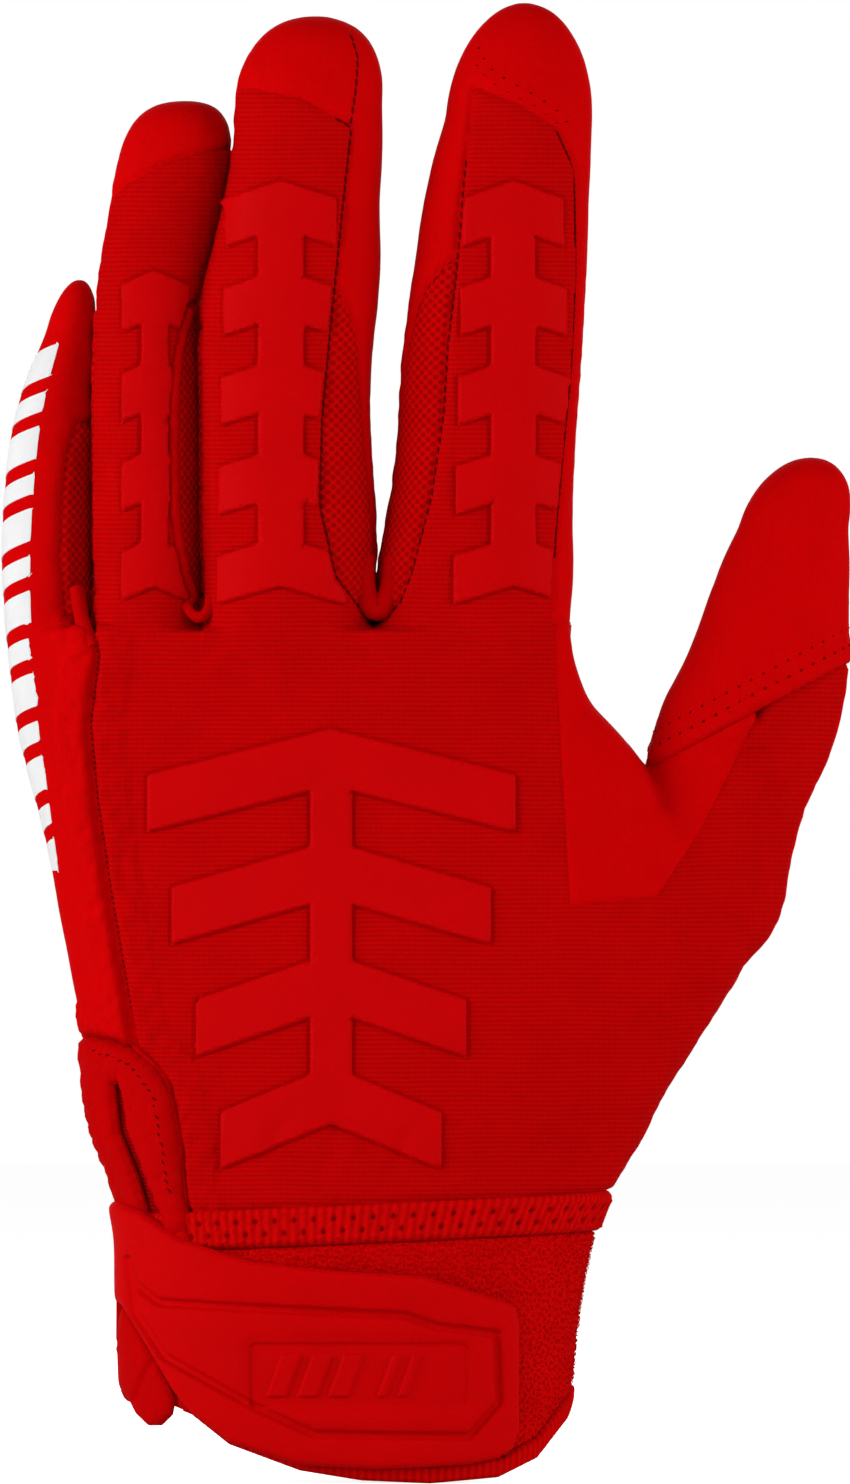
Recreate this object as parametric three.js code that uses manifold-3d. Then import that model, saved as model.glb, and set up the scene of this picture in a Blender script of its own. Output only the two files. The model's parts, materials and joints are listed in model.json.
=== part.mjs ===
// Football glove for the left hand, upright with its fingers up, in millimetres.
// X runs towards the thumb, Z along the fingers, and the back of the hand faces -Y.
// The origin is the centre of the wrist opening, at the cuff's lower rim.
import * as THREE from "three";
import { mergeVertices } from "three/addons/utils/BufferGeometryUtils.js";
import Module from "manifold-3d";

const wasm = await Module();
wasm.setup();

// Fabric
const wall = 0.85;
const seamGap = 0.3;
const foldGap = 0.86;
const layerStart = 0.3;
const layerEnd = 1.0;
const bandBulge = 0.7;
const gussetThickness = 0.8;
const strapStart = 1.3;
const strapEnd = 3.0;
const strapGroove = 0.55;
const cutterReach = 300;
const openEnd = 30;
const weld = 0.001;
const shortestEdge = 0.02;

// Hand and cuff: each section is a rounded outline at one height
const knuckleHeight = 139;
const palmDrop = 1.6;
const palmTop = knuckleHeight - palmDrop;
const palmPoints = 26;
const palmRoundness = 2.35;
const palmSections = [
  { height: 0, left: -33.8, right: 34.4, front: -20.6, rear: 20.6, turn: 0 },
  { height: 21, left: -35, right: 36.2, front: -20.6, rear: 20.6, turn: 0 },
  { height: 41, left: -35.2, right: 38, front: -20, rear: 20, turn: 0 },
  { height: 53, left: -39.2, right: 45.2, front: -18.6, rear: 20, turn: -1 },
  { height: 61, left: -41.6, right: 50.1, front: -17.8, rear: 20, turn: -1.5 },
  { height: 69, left: -42.6, right: 55.2, front: -17, rear: 20, turn: -2 },
  { height: 85, left: -46, right: 64.6, front: -15.6, rear: 20, turn: -3 },
  { height: 97, left: -48.6, right: 60.5, front: -14.4, rear: 19.5, turn: -4 },
  { height: 109, left: -51.4, right: 51.6, front: -13.2, rear: 18.5, turn: -5 },
  { height: 119, left: -53.8, right: 45.6, front: -12.5, rear: 17.4, turn: -5.6 },
  { height: 127, left: -55.2, right: 37.8, front: -12, rear: 16, turn: -6 },
  { height: palmTop, left: -56.2, right: 36, front: -10.8, rear: 13.6, turn: -6.5 },
];

// Fingers: each runs from its root inside the hand to its tip, with heights from the knuckle line
const fingerPoints = 16;
const fingerRoundness = 2.2;
const rootDrop = 23;
const rootHeight = knuckleHeight - rootDrop;
const rootShare = 0.8;
const stationShares = [0, 0.2, 0.48, 0.76, 1];
const domeAngles = [28, 52, 70, 82];
const fingers = {
  index: {
    rootX: 17.9, tipX: 28.7, bow: 0, rootY: 0, tipY: 3.5,
    root: -23, tip: 101, dome: 18, cap: 82.5, leafTop: 58,
    rootWidth: 33.6, endWidth: 23.6, rootDepth: 25, endDepth: 18,
    leftShare: -0.46, rightShare: 0.9, chevronCount: 5,
  },
  middle: {
    rootX: -11.3, tipX: -5.6, bow: 0, rootY: -0.5, tipY: 3,
    root: -23, tip: 98.7, dome: 13, cap: 87, leafTop: 54,
    rootWidth: 27.8, endWidth: 23.6, rootDepth: 24.5, endDepth: 18.5,
    leftShare: -0.84, rightShare: 0.46, chevronCount: 5,
  },
  ring: {
    rootX: -34.35, tipX: -28, bow: 0, rootY: 3.5, tipY: 7,
    root: -21, tip: 85, dome: 13, cap: 72.5, leafTop: 51,
    rootWidth: 16.4, endWidth: 18.8, rootDepth: 22.5, endDepth: 17.5,
    leftShare: -0.84, rightShare: 0.66, chevronCount: 4,
  },
  pinky: {
    rootX: -47.8, tipX: -43.8, bow: -3, rootY: 8, tipY: 11,
    root: -12, tip: 56, dome: 29, leafTop: 39,
    rootWidth: 14.6, endWidth: 14.4, rootDepth: 19.5, endDepth: 16,
    leftShare: 0.42,
  },
};
for (const finger of Object.values(fingers)) {
  for (const height of ["root", "tip", "cap", "leafTop"].filter((name) => name in finger)) {
    finger[height] += knuckleHeight;
  }
}

// Thumb: sections along a curve that leans away from the index finger
const thumbPoints = 18;
const thumbRoundness = 2.2;
const thumbDome = 15;
const thumbTip = { x: 73.9, y: 5, z: 166 };
const thumbSections = [
  { x: 43, y: 4, z: 74, width: 24, depth: 22 },
  { x: 53.8, y: 4.5, z: 92, width: 30.2, depth: 25 },
  { x: 59.8, y: 5, z: 109, width: 28.6, depth: 24 },
  { x: 65, y: 5, z: 124, width: 26.4, depth: 22.5 },
  { x: 68.7, y: 5, z: 138, width: 23.4, depth: 20.5 },
  { x: 71.4, y: 5, z: 151, width: 19.8, depth: 18 },
];
const hemLow = { x: 51.2, z: 117 };
const hemHigh = { x: 80.1, z: 132.4 };
const hemBand = 4.2;

// Wrist band, cuff, vent and strap
const rimHeight = 3.2;
const rimRear = 12.5;
const rimFront = [
  [-60, 14], [-30, 13], [-26, 11.4], [-19.5, 6.3], [-8, 2.1], [2, 0.5],
  [13, 0], [24, 0.9], [30, 3.8], [34, 9], [37, 12.4], [60, 12.5],
];
const bandLow = 39;
const bandHigh = 46.4;
const sideSeam = 3;
const bindingWidth = 2.3;
const gussetLap = 3.6;
const ventOutline = [
  [-36.4, 65.6], [-32.8, 63.6], [-29.4, 56], [-27.6, 47], [-26.6, 38], [-26.6, -6],
  [-31.2, -6], [-31.2, 38], [-34.4, 48], [-37.4, 58],
];
const strapOutline = [
  [-42, 45.2], [-34.5, 43.8], [-27.6, 39.4], [-16.2, 36], [12, 33.6], [25, 29.6], [27.8, 26],
  [27.8, 3.4], [24.6, 0.9], [13, 0], [-8, 2.2], [-19.5, 6.4], [-27, 13], [-31.5, 22], [-42, 25.6],
];
const strapFrame = [
  [-24.5, 32.5], [21.5, 27.8], [23.8, 25.8], [23.8, 10],
  [19.6, 4.2], [-7, 5.6], [-18.4, 10.2], [-24.5, 21],
];
const strapWindow = [
  [-15.5, 22.6], [19, 22.6], [19.6, 22], [19.6, 12.6],
  [19, 12], [-15.5, 12], [-16.1, 12.6], [-16.1, 22],
];
const strapFrameLine = 1.1;
const strapFold = [[-42, 24.6], [-32.4, 21.6], [-28.3, 13.4], [-31, 9.6], [-36, 10.2], [-42, 15]];
const strapFoldEnd = 2.5;
const strapFoldY = 0;
const loopEdge = -30;
const rootEdge = -30;
const rootLow = 20;
const rootHigh = 44.6;
const rootBack = 15;
const hookPatch = [[4.5, 28.6], [25.4, 27], [25.4, 4.6], [4.5, 4.2]];

// Seams of the hand, as seen from the back and from the palm
const seamRun = 11;
const seamTop = knuckleHeight + seamRun;
const webDrop = 3;
const webTop = knuckleHeight - webDrop;
const backOutline = [
  [-33, 40], [-34.6, 65], [-36.2, 78], [-39, 94], [-41.4, 110], [-42.6, 123], [-41.1, seamTop],
  [33.2, seamTop], [33.2, webTop], [35.6, 93.4], [49.6, 94.6], [56.9, 105.6], [66.1, 124.4],
  [72, 140], [100, 140], [100, 40],
];
const webOutline = [
  [33.2, seamTop], [33.2, webTop], [35.6, 93.4], [49.6, 94.6], [56.9, 105.6], [66.1, 124.4], [62, seamTop],
];
const thumbPalmOutline = [
  [10, 30], [13, 70], [25, 93], [38, 106], [47.5, 112], [56, seamTop], [110, seamTop], [110, 30],
];

// Seams of the fingers
const capDrop = 2.4;
const fourchetteRear = 4.5;
const fourchetteCrest = -8;

// Raised print: chevrons on one spine
const handPrint = {
  middleX: -3, low: 58, pitch: 18.2, count: 4,
  halfLow: 18, halfHigh: 30, bar: 9.6, rise: 7.5, spine: 7,
};
const fingerPrint = {
  clear: 6, pitch: 14.5, bar: 6.4, rise: 3.4, spine: 4.2, lowShare: 0.52, highShare: 0.46,
};

const finishes = {
  knit: { color: 0xa50203, roughness: 0.85, metalness: 0 },
  smooth: { color: 0xc40002, roughness: 0.6, metalness: 0 },
  mesh: { color: 0x8c0103, roughness: 0.9, metalness: 0 },
  elastic: { color: 0xb20204, roughness: 0.9, metalness: 0 },
  loop: { color: 0xa80203, roughness: 0.95, metalness: 0 },
  moulded: { color: 0xbb0003, roughness: 0.45, metalness: 0 },
  print: { color: 0xa00203, roughness: 0.5, metalness: 0 },
};

const group = new THREE.Group();
group.name = "football_glove";

// Solids
function solidOf(geometry) {
  const plain = geometry.index ? geometry.toNonIndexed() : geometry.clone();
  for (const extra of ["normal", "uv"]) {
    plain.deleteAttribute(extra);
  }
  const joined = mergeVertices(plain, weld);
  const shape = new wasm.Mesh({
    numProp: 3,
    vertProperties: new Float32Array(joined.attributes.position.array),
    triVerts: new Uint32Array(joined.index.array),
  });
  return new wasm.Manifold(shape);
}

function loft(rings) {
  const count = rings[0].length;
  const places = rings.flat();
  const faces = [];
  for (let r = 0; r + 1 < rings.length; r += 1) {
    for (let i = 0; i < count; i += 1) {
      const a = r * count + i;
      const b = r * count + ((i + 1) % count);
      faces.push(a, b, b + count, a, b + count, a + count);
    }
  }
  for (const [ring, first] of [[rings[0], 0], [rings.at(-1), (rings.length - 1) * count]]) {
    const middle = places.length;
    const centre = new THREE.Vector3();
    ring.forEach((place) => centre.addScaledVector(place, 1 / count));
    places.push(centre);
    for (let i = 0; i < count; i += 1) {
      const next = (i + 1) % count;
      faces.push(middle, ...(first === 0 ? [next, i] : [first + i, first + next]));
    }
  }
  const geometry = new THREE.BufferGeometry().setFromPoints(places);
  geometry.setIndex(faces);
  return solidOf(geometry);
}

function roundedPoint(turn, roundness) {
  const across = Math.cos(turn);
  const deep = Math.sin(turn);
  return [
    Math.sign(across) * Math.abs(across) ** (2 / roundness),
    Math.sign(deep) * Math.abs(deep) ** (2 / roundness),
  ];
}

function palmForm(grow) {
  const rings = palmSections.map((section) => {
    const top = section.height === palmTop ? grow : 0;
    const bottom = section.height === 0 ? -openEnd : 0;
    const halfX = (section.right - section.left) / 2 + grow;
    const halfY = (section.rear - section.front) / 2 + grow;
    const turn = THREE.MathUtils.degToRad(section.turn);
    return Array.from({ length: palmPoints }, (_, i) => {
      const [u, v] = roundedPoint((2 * Math.PI * i) / palmPoints, palmRoundness);
      const x = u * halfX * Math.cos(turn) - v * halfY * Math.sin(turn);
      const y = u * halfX * Math.sin(turn) + v * halfY * Math.cos(turn);
      return new THREE.Vector3(
        (section.left + section.right) / 2 + x,
        (section.front + section.rear) / 2 + y,
        section.height + top + bottom,
      );
    });
  });
  return loft(rings);
}

function tube(stations, tip, dome, points, roundness, grow) {
  const places = stations.map((station) => new THREE.Vector3(station.x, station.y, station.z));
  const end = new THREE.Vector3(tip.x, tip.y, tip.z);
  const last = places.at(-1);
  const lead = end.clone().sub(last).normalize();
  const deep = new THREE.Vector3(0, 1, 0);
  const rings = stations.map((station, i) => {
    const along = i + 1 < places.length ? places[i + 1].clone().sub(places[i]).normalize() : lead;
    return { place: places[i], along, width: station.width, depth: station.depth };
  });
  for (const angle of domeAngles.map(THREE.MathUtils.degToRad)) {
    rings.push({
      place: end.clone().addScaledVector(lead, grow - (dome + grow) * (1 - Math.sin(angle))),
      along: lead,
      width: (stations.at(-1).width + 2 * grow) * Math.cos(angle) - 2 * grow,
      depth: (stations.at(-1).depth + 2 * grow) * Math.cos(angle) - 2 * grow,
    });
  }
  return loft(rings.map((ring) => {
    const across = new THREE.Vector3().crossVectors(deep, ring.along).normalize();
    const up = new THREE.Vector3().crossVectors(ring.along, across).normalize();
    return Array.from({ length: points }, (_, i) => {
      const [u, v] = roundedPoint((2 * Math.PI * (i + 0.5)) / points, roundness);
      return ring.place.clone()
        .addScaledVector(across, u * (ring.width / 2 + grow))
        .addScaledVector(up, v * (ring.depth / 2 + grow));
    });
  }));
}

function fingerAt(finger, height) {
  const share = (height - rootHeight) / (finger.tip - rootHeight);
  const body = Math.min(1, (height - rootHeight) / (finger.tip - finger.dome - rootHeight));
  return {
    x: THREE.MathUtils.lerp(finger.rootX, finger.tipX, share) + finger.bow * 4 * share * (1 - share),
    y: THREE.MathUtils.lerp(finger.rootY, finger.tipY, share ** 2),
    z: height,
    width: THREE.MathUtils.lerp(finger.rootWidth, finger.endWidth, body),
    depth: THREE.MathUtils.lerp(finger.rootDepth, finger.endDepth, body),
  };
}

function fingerForm(finger, grow) {
  const domeStart = finger.tip - finger.dome;
  const stations = stationShares.map((share) =>
    fingerAt(finger, THREE.MathUtils.lerp(finger.root, domeStart, share)));
  stations[0].width *= rootShare;
  stations[0].depth *= rootShare;
  const tip = fingerAt(finger, finger.tip);
  return tube(stations, tip, finger.dome, fingerPoints, fingerRoundness, grow);
}

function thumbForm(grow) {
  return tube(thumbSections, thumbTip, thumbDome, thumbPoints, thumbRoundness, grow);
}

const forms = new Map();
function gloveForm(grow) {
  if (!forms.has(grow)) {
    const parts = Object.values(fingers).map((finger) => fingerForm(finger, grow));
    const overrun = grow < 0 ? wall : 0;
    parts.push(palmForm(grow), belowHem(thumbForm(grow), foldGap - 2 * overrun));
    forms.set(grow, wasm.Manifold.union(parts));
  }
  return forms.get(grow);
}

function layer(low, high) {
  return gloveForm(high).subtract(gloveForm(low));
}

// Cutters
function outset(points, distance) {
  const area = points.reduce((sum, [x, z], i) => {
    const [nextX, nextZ] = points[(i + 1) % points.length];
    return sum + x * nextZ - nextX * z;
  }, 0);
  const side = Math.sign(area);
  return points.map((point, i) => {
    const here = new THREE.Vector2(...point);
    const before = new THREE.Vector2(...points.at(i - 1));
    const after = new THREE.Vector2(...points[(i + 1) % points.length]);
    const first = here.clone().sub(before).normalize();
    const second = after.sub(here).normalize();
    const firstOut = new THREE.Vector2(first.y, -first.x);
    const secondOut = new THREE.Vector2(second.y, -second.x);
    const mitre = firstOut.clone().add(secondOut).normalize();
    return here.addScaledVector(mitre, (side * distance) / mitre.dot(firstOut)).toArray();
  });
}

function extrudeBetween(points, low, high) {
  const shape = new THREE.Shape(points.map((point) => new THREE.Vector2(...point)));
  return new THREE.ExtrudeGeometry(shape, { depth: high - low, bevelEnabled: false });
}

function prismY(points, low, high) {
  const geometry = extrudeBetween(points, low, high);
  geometry.rotateX(Math.PI / 2);
  geometry.translate(0, high, 0);
  return solidOf(geometry);
}

function prismX(points, low, high) {
  const geometry = extrudeBetween(points, low, high);
  geometry.rotateX(Math.PI / 2);
  geometry.rotateZ(Math.PI / 2);
  geometry.translate(low, 0, 0);
  return solidOf(geometry);
}

function slab(low, high) {
  const box = new THREE.BoxGeometry(2 * cutterReach, 2 * cutterReach, high - low);
  box.translate(0, 0, (low + high) / 2);
  return solidOf(box);
}

function belowRim(rise) {
  const depth = -cutterReach;
  const frontEdge = rimFront.map(([x, z]) => [x, z + rise]);
  const frontPart = [...frontEdge, [frontEdge.at(-1)[0], depth], [frontEdge[0][0], depth]];
  const [[left], [right]] = [frontEdge[0], frontEdge.at(-1)];
  const rearPart = [[left, rimRear + rise], [right, rimRear + rise], [right, depth], [left, depth]];
  return prismY(frontPart, -cutterReach, 0).add(prismY(rearPart, -seamGap, cutterReach));
}

function hemHalf(side, gap) {
  const slope = Math.atan2(hemHigh.z - hemLow.z, hemHigh.x - hemLow.x);
  const box = new THREE.BoxGeometry(2 * cutterReach, 2 * cutterReach, cutterReach);
  box.translate(0, 0, (side * (cutterReach + gap)) / 2);
  box.rotateY(-slope);
  box.translate((hemLow.x + hemHigh.x) / 2, 0, (hemLow.z + hemHigh.z) / 2);
  return solidOf(box);
}

function belowHem(solid, gap) {
  return solid.intersect(hemHalf(-1, gap));
}

function aboveHem(solid, gap) {
  return solid.intersect(hemHalf(1, gap));
}

function largest(solid) {
  const bodies = solid.decompose();
  return bodies.sort((a, b) => b.volume() - a.volume())[0];
}

function add(name, solid, finish) {
  const shape = largest(solid).simplify(shortestEdge).getMesh();
  const geometry = new THREE.BufferGeometry();
  geometry.setAttribute("position", new THREE.BufferAttribute(new Float32Array(shape.vertProperties), 3));
  geometry.setIndex(new THREE.BufferAttribute(new Uint32Array(shape.triVerts), 1));
  const material = new THREE.MeshStandardMaterial({ ...finishes[finish], flatShading: true });
  const mesh = new THREE.Mesh(geometry, material);
  mesh.name = name;
  group.add(mesh);
}

// Chevrons that point to the fingertips, joined by a spine
function chevrons(middleX, low, size) {
  const high = low + size.pitch * (size.count - 1) + size.bar;
  const outline = [];
  const edge = size.spine / 2;
  for (let i = 0; i < size.count; i += 1) {
    const reach = THREE.MathUtils.lerp(size.halfLow, size.halfHigh, i / (size.count - 1));
    const base = low + i * size.pitch;
    const drop = (size.rise * edge) / reach;
    outline.push([edge, base - drop], [reach, base - size.rise]);
    outline.push([reach, base + size.bar - size.rise], [edge, base + size.bar - drop]);
  }
  const left = outline.map(([x, z]) => [-x, z]).reverse();
  const foot = [0, low];
  const head = [0, high];
  return [foot, ...outline, head, ...left].map(([x, z]) => [middleX + x, z]);
}

// Hand
const front = -cutterReach;
const rear = cutterReach;
const half = seamGap / 2;
const fold = foldGap / 2;
const vent = prismY(ventOutline, front, 0);
const shell = gloveForm(0)
  .subtract(gloveForm(-wall))
  .intersect(slab(0, knuckleHeight - fold));
const thumbCavity = thumbForm(-wall);
const handShell = shell.subtract(thumbCavity);
const upper = handShell.intersect(slab(bandHigh + half, knuckleHeight)).subtract(vent);
const backCut = prismY(outset(backOutline, half), front, sideSeam + half);
const webCut = prismY(outset(webOutline, half), front, sideSeam + half);
add("back_knit_panel", upper.intersect(prismY(outset(backOutline, -half), front, sideSeam - half)), "knit");
add("thumb_web_patch", upper.intersect(prismY(outset(webOutline, -half), front, sideSeam - half)), "smooth");
const palmShell = upper.subtract(backCut).subtract(webCut);
const thumbPalmCut = prismY(outset(thumbPalmOutline, half), 0, rear);
add("palm_grip_panel", palmShell.subtract(thumbPalmCut), "smooth");
add("thumb_palm_panel", palmShell.intersect(prismY(outset(thumbPalmOutline, -half), 0, rear)), "smooth");
const handChevrons = chevrons(handPrint.middleX, handPrint.low, handPrint);
add("back_raised_print", layer(layerStart, layerEnd).intersect(prismY(handChevrons, front, 0)), "print");

// Fingers
function fourchetteLeaf(finger, grow) {
  const leaf = [
    [front, rootHeight], [fourchetteRear + finger.rootY + grow, rootHeight],
    [fourchetteCrest + finger.rootY + grow, finger.leafTop + grow], [front, finger.leafTop + grow],
  ];
  return prismX(leaf, -cutterReach, cutterReach);
}

function seamX(finger, share, height) {
  const at = fingerAt(finger, height);
  return at.x + (share * at.width) / 2;
}

function sideRegion(finger, share, side, grow) {
  const far = side * cutterReach;
  const low = seamX(finger, share, rootHeight);
  const high = seamX(finger, share, finger.tip);
  const outline = [[low, rootHeight], [high, finger.tip], [far, finger.tip], [far, rootHeight]];
  return prismY(outset(outline, grow), front, rear).intersect(fourchetteLeaf(finger, grow));
}

for (const [name, finger] of Object.entries(fingers)) {
  let rest = fingerForm(finger, 0)
    .subtract(fingerForm(finger, -wall))
    .intersect(slab(knuckleHeight + fold, cutterReach));
  if (name === "pinky") {
    add("pinky_mesh_side", rest.intersect(sideRegion(finger, finger.leftShare, 1, 0)), "mesh");
    add("pinky_smooth_wrap", rest.subtract(sideRegion(finger, finger.leftShare, 1, seamGap)), "smooth");
    continue;
  }
  const middleShare = (finger.leftShare + finger.rightShare) / 2;
  const knit = [
    [seamX(finger, finger.leftShare, rootHeight), rootHeight],
    [seamX(finger, finger.leftShare, finger.cap), finger.cap - capDrop],
    [seamX(finger, middleShare, finger.cap), finger.cap],
    [seamX(finger, finger.rightShare, finger.cap), finger.cap - capDrop],
    [seamX(finger, finger.rightShare, rootHeight), rootHeight],
  ];
  add(`${name}_back_knit`, rest.intersect(prismY(outset(knit, -half), front, finger.rootY)), "knit");
  rest = rest.subtract(prismY(outset(knit, half), front, finger.rootY));
  const left = rest.intersect(sideRegion(finger, finger.leftShare, -1, 0));
  add(`${name}_mesh_pinky_side`, left, "mesh");
  rest = rest.subtract(sideRegion(finger, finger.leftShare, -1, seamGap));
  if (name !== "index") {
    const right = rest.intersect(sideRegion(finger, finger.rightShare, 1, 0));
    add(`${name}_mesh_thumb_side`, right, "mesh");
    rest = rest.subtract(sideRegion(finger, finger.rightShare, 1, seamGap));
  }
  add(`${name}_smooth_wrap`, rest, "smooth");
  const size = {
    ...fingerPrint,
    count: finger.chevronCount,
    halfLow: (fingerPrint.lowShare * finger.rootWidth) / 2,
    halfHigh: (fingerPrint.highShare * finger.endWidth) / 2,
  };
  const middleX = seamX(finger, middleShare, (knuckleHeight + finger.cap) / 2);
  const print = chevrons(middleX, knuckleHeight + fingerPrint.clear, size);
  const skin = fingerForm(finger, layerEnd).subtract(fingerForm(finger, layerStart));
  add(`${name}_raised_print`, skin.intersect(prismY(print, front, finger.rootY)), "print");
}

// Thumb
const stall = aboveHem(thumbForm(0).subtract(thumbCavity), foldGap).subtract(palmForm(layerStart));
add("thumb_stall", stall, "smooth");
const hemSkin = thumbForm(layerEnd).subtract(thumbForm(layerStart)).subtract(palmForm(layerEnd));
add("thumb_hem_band", aboveHem(hemSkin, foldGap).subtract(hemHalf(1, foldGap + 2 * hemBand)), "smooth");

// Cuff
const cuffShell = shell.subtract(vent);
const loopSide = [
  [loopEdge, -cutterReach], [cutterReach, -cutterReach],
  [cutterReach, cutterReach], [loopEdge, cutterReach],
];
const lower = cuffShell.intersect(slab(0, bandLow - half)).subtract(belowRim(rimHeight + half));
add("cuff_loop_panel", lower.intersect(prismY(loopSide, front, sideSeam - half)), "loop");
add("cuff_rear_panel", lower.subtract(prismY(loopSide, front, sideSeam + half)), "smooth");
const bindingOutline = outset(ventOutline, bindingWidth);
const bindingClear = prismY(outset(ventOutline, bindingWidth + seamGap), front, 0);
const thickBand = gloveForm(bandBulge).subtract(gloveForm(-wall));
const band = thickBand.intersect(slab(bandLow + half, bandHigh - half));
add("wrist_elastic_band", band.subtract(bindingClear), "elastic");
const rim = thickBand.intersect(belowRim(rimHeight - half)).subtract(belowRim(0));
add("cuff_rim_binding", rim.subtract(bindingClear), "elastic");
const ventBinding = layer(layerStart, layerEnd)
  .intersect(prismY(bindingOutline, front, 0))
  .subtract(vent)
  .subtract(belowRim(half));
add("vent_binding", ventBinding, "elastic");
const gusset = gloveForm(-wall - layerStart).subtract(gloveForm(-wall - layerStart - gussetThickness));
const gussetCut = prismY(outset(ventOutline, gussetLap), front, 0).subtract(belowRim(half));
add("vent_gusset", gusset.intersect(gussetCut), "knit");

// Strap
const strapLayer = layer(strapStart, strapEnd);
const topLayer = layer(strapEnd - strapGroove, strapEnd + wall);
const frameInside = prismY(outset(strapFrame, -strapFrameLine), front, 0);
const frameLine = prismY(strapFrame, front, 0).subtract(frameInside);
const grooves = topLayer.intersect(frameLine.add(prismY(strapWindow, front, 0)));
const strap = strapLayer.intersect(prismY(strapOutline, front, strapFoldY - fold)).subtract(grooves);
add("closure_strap", strap, "moulded");
add("strap_hook_patch", layer(layerStart, layerEnd).intersect(prismY(hookPatch, front, 0)), "loop");
const rootBlock = [
  [-cutterReach, rootLow], [rootEdge, rootLow], [rootEdge, rootHigh], [-cutterReach, rootHigh],
];
const rootLayer = layer(layerEnd, strapEnd);
add("strap_root", rootLayer.intersect(prismY(rootBlock, strapFoldY + fold, rootBack)), "smooth");
add("strap_root_fold", layer(strapStart, strapFoldEnd).intersect(prismY(strapFold, front, 0)), "smooth");

export default group;
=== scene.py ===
import json
import math

import bpy
import numpy as np
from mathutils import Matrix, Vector, kdtree, noise
from mathutils.bvhtree import BVHTree

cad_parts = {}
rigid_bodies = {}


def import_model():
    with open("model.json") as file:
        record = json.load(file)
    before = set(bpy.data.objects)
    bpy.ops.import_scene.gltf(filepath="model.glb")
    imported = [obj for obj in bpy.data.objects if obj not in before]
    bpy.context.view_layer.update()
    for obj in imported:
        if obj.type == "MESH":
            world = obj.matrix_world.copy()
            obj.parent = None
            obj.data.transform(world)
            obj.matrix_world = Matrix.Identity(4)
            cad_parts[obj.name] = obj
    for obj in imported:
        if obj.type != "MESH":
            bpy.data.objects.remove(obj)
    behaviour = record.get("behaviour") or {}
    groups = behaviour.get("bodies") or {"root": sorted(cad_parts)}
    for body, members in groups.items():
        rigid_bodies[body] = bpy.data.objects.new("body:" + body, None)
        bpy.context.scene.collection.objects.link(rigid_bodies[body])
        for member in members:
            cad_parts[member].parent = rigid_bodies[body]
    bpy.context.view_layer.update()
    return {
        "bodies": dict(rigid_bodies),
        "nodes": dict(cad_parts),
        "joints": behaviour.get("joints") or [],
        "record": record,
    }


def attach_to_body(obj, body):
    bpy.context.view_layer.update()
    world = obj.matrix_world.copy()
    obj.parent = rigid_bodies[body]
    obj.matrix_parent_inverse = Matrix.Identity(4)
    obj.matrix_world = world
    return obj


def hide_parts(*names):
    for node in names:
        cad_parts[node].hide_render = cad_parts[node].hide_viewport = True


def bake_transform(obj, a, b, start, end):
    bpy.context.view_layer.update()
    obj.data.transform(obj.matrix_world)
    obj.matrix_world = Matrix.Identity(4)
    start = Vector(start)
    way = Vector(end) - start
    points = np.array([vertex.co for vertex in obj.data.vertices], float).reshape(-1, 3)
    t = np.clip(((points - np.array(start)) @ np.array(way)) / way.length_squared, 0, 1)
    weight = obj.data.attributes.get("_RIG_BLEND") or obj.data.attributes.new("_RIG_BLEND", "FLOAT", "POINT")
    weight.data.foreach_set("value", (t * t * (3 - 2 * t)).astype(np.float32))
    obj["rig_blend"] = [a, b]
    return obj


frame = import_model()
mm = 0.001


def linear(hexColour):
    parts = [int(hexColour[i:i + 2], 16) / 255 for i in (1, 3, 5)]
    return [c / 12.92 if c <= 0.04045 else ((c + 0.055) / 1.055) ** 2.4 for c in parts] + [1.0]


def addNode(tree, kind, settings=None, **inputs):
    # an input is a value, a socket or a node, which stands for its first output
    node = tree.nodes.new(kind)
    for name, value in (settings or {}).items():
        setattr(node, name, value)
    for name, value in inputs.items():
        socket = node.inputs[int(name[1:]) if name[0] == "_" else name.replace("_", " ")]
        value = value.outputs[0] if isinstance(value, bpy.types.Node) else value
        if isinstance(value, bpy.types.NodeSocket):
            tree.links.new(value, socket)
        else:
            socket.default_value = value
    return node


def newMaterial(name, roughness, specular, **others):
    material = bpy.data.materials.new(name)
    material.use_nodes = True
    tree = material.node_tree
    tree.nodes.clear()
    shader = addNode(tree, "ShaderNodeBsdfPrincipled", Roughness=roughness, Specular_IOR_Level=specular,
                     **others)
    addNode(tree, "ShaderNodeOutputMaterial", Surface=shader)
    return material, tree, shader


def newMesh(name, points, faces, edges=()):
    mesh = bpy.data.meshes.new(name)
    mesh.from_pydata((points * mm).tolist(), list(edges), faces)
    return mesh


def newObject(name, data):
    item = bpy.data.objects.new(name, data)
    bpy.context.scene.collection.objects.link(item)
    return item


def grownMesh(item):
    # the mesh that an object's modifiers make of it, with the object and its first mesh removed
    mesh = bpy.data.meshes.new_from_object(item.evaluated_get(bpy.context.evaluated_depsgraph_get()))
    before = item.data
    bpy.data.objects.remove(item)
    bpy.data.meshes.remove(before)
    return mesh


def setAttribute(mesh, name, values):
    kind, key = ("FLOAT_VECTOR", "vector") if values.ndim == 2 else ("FLOAT", "value")
    mesh.attributes.new(name, kind, "POINT").data.foreach_set(key, values.astype(np.float32).ravel())


def unit(v):
    return v / np.maximum(np.linalg.norm(v, axis=1, keepdims=True), 1e-12)


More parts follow.
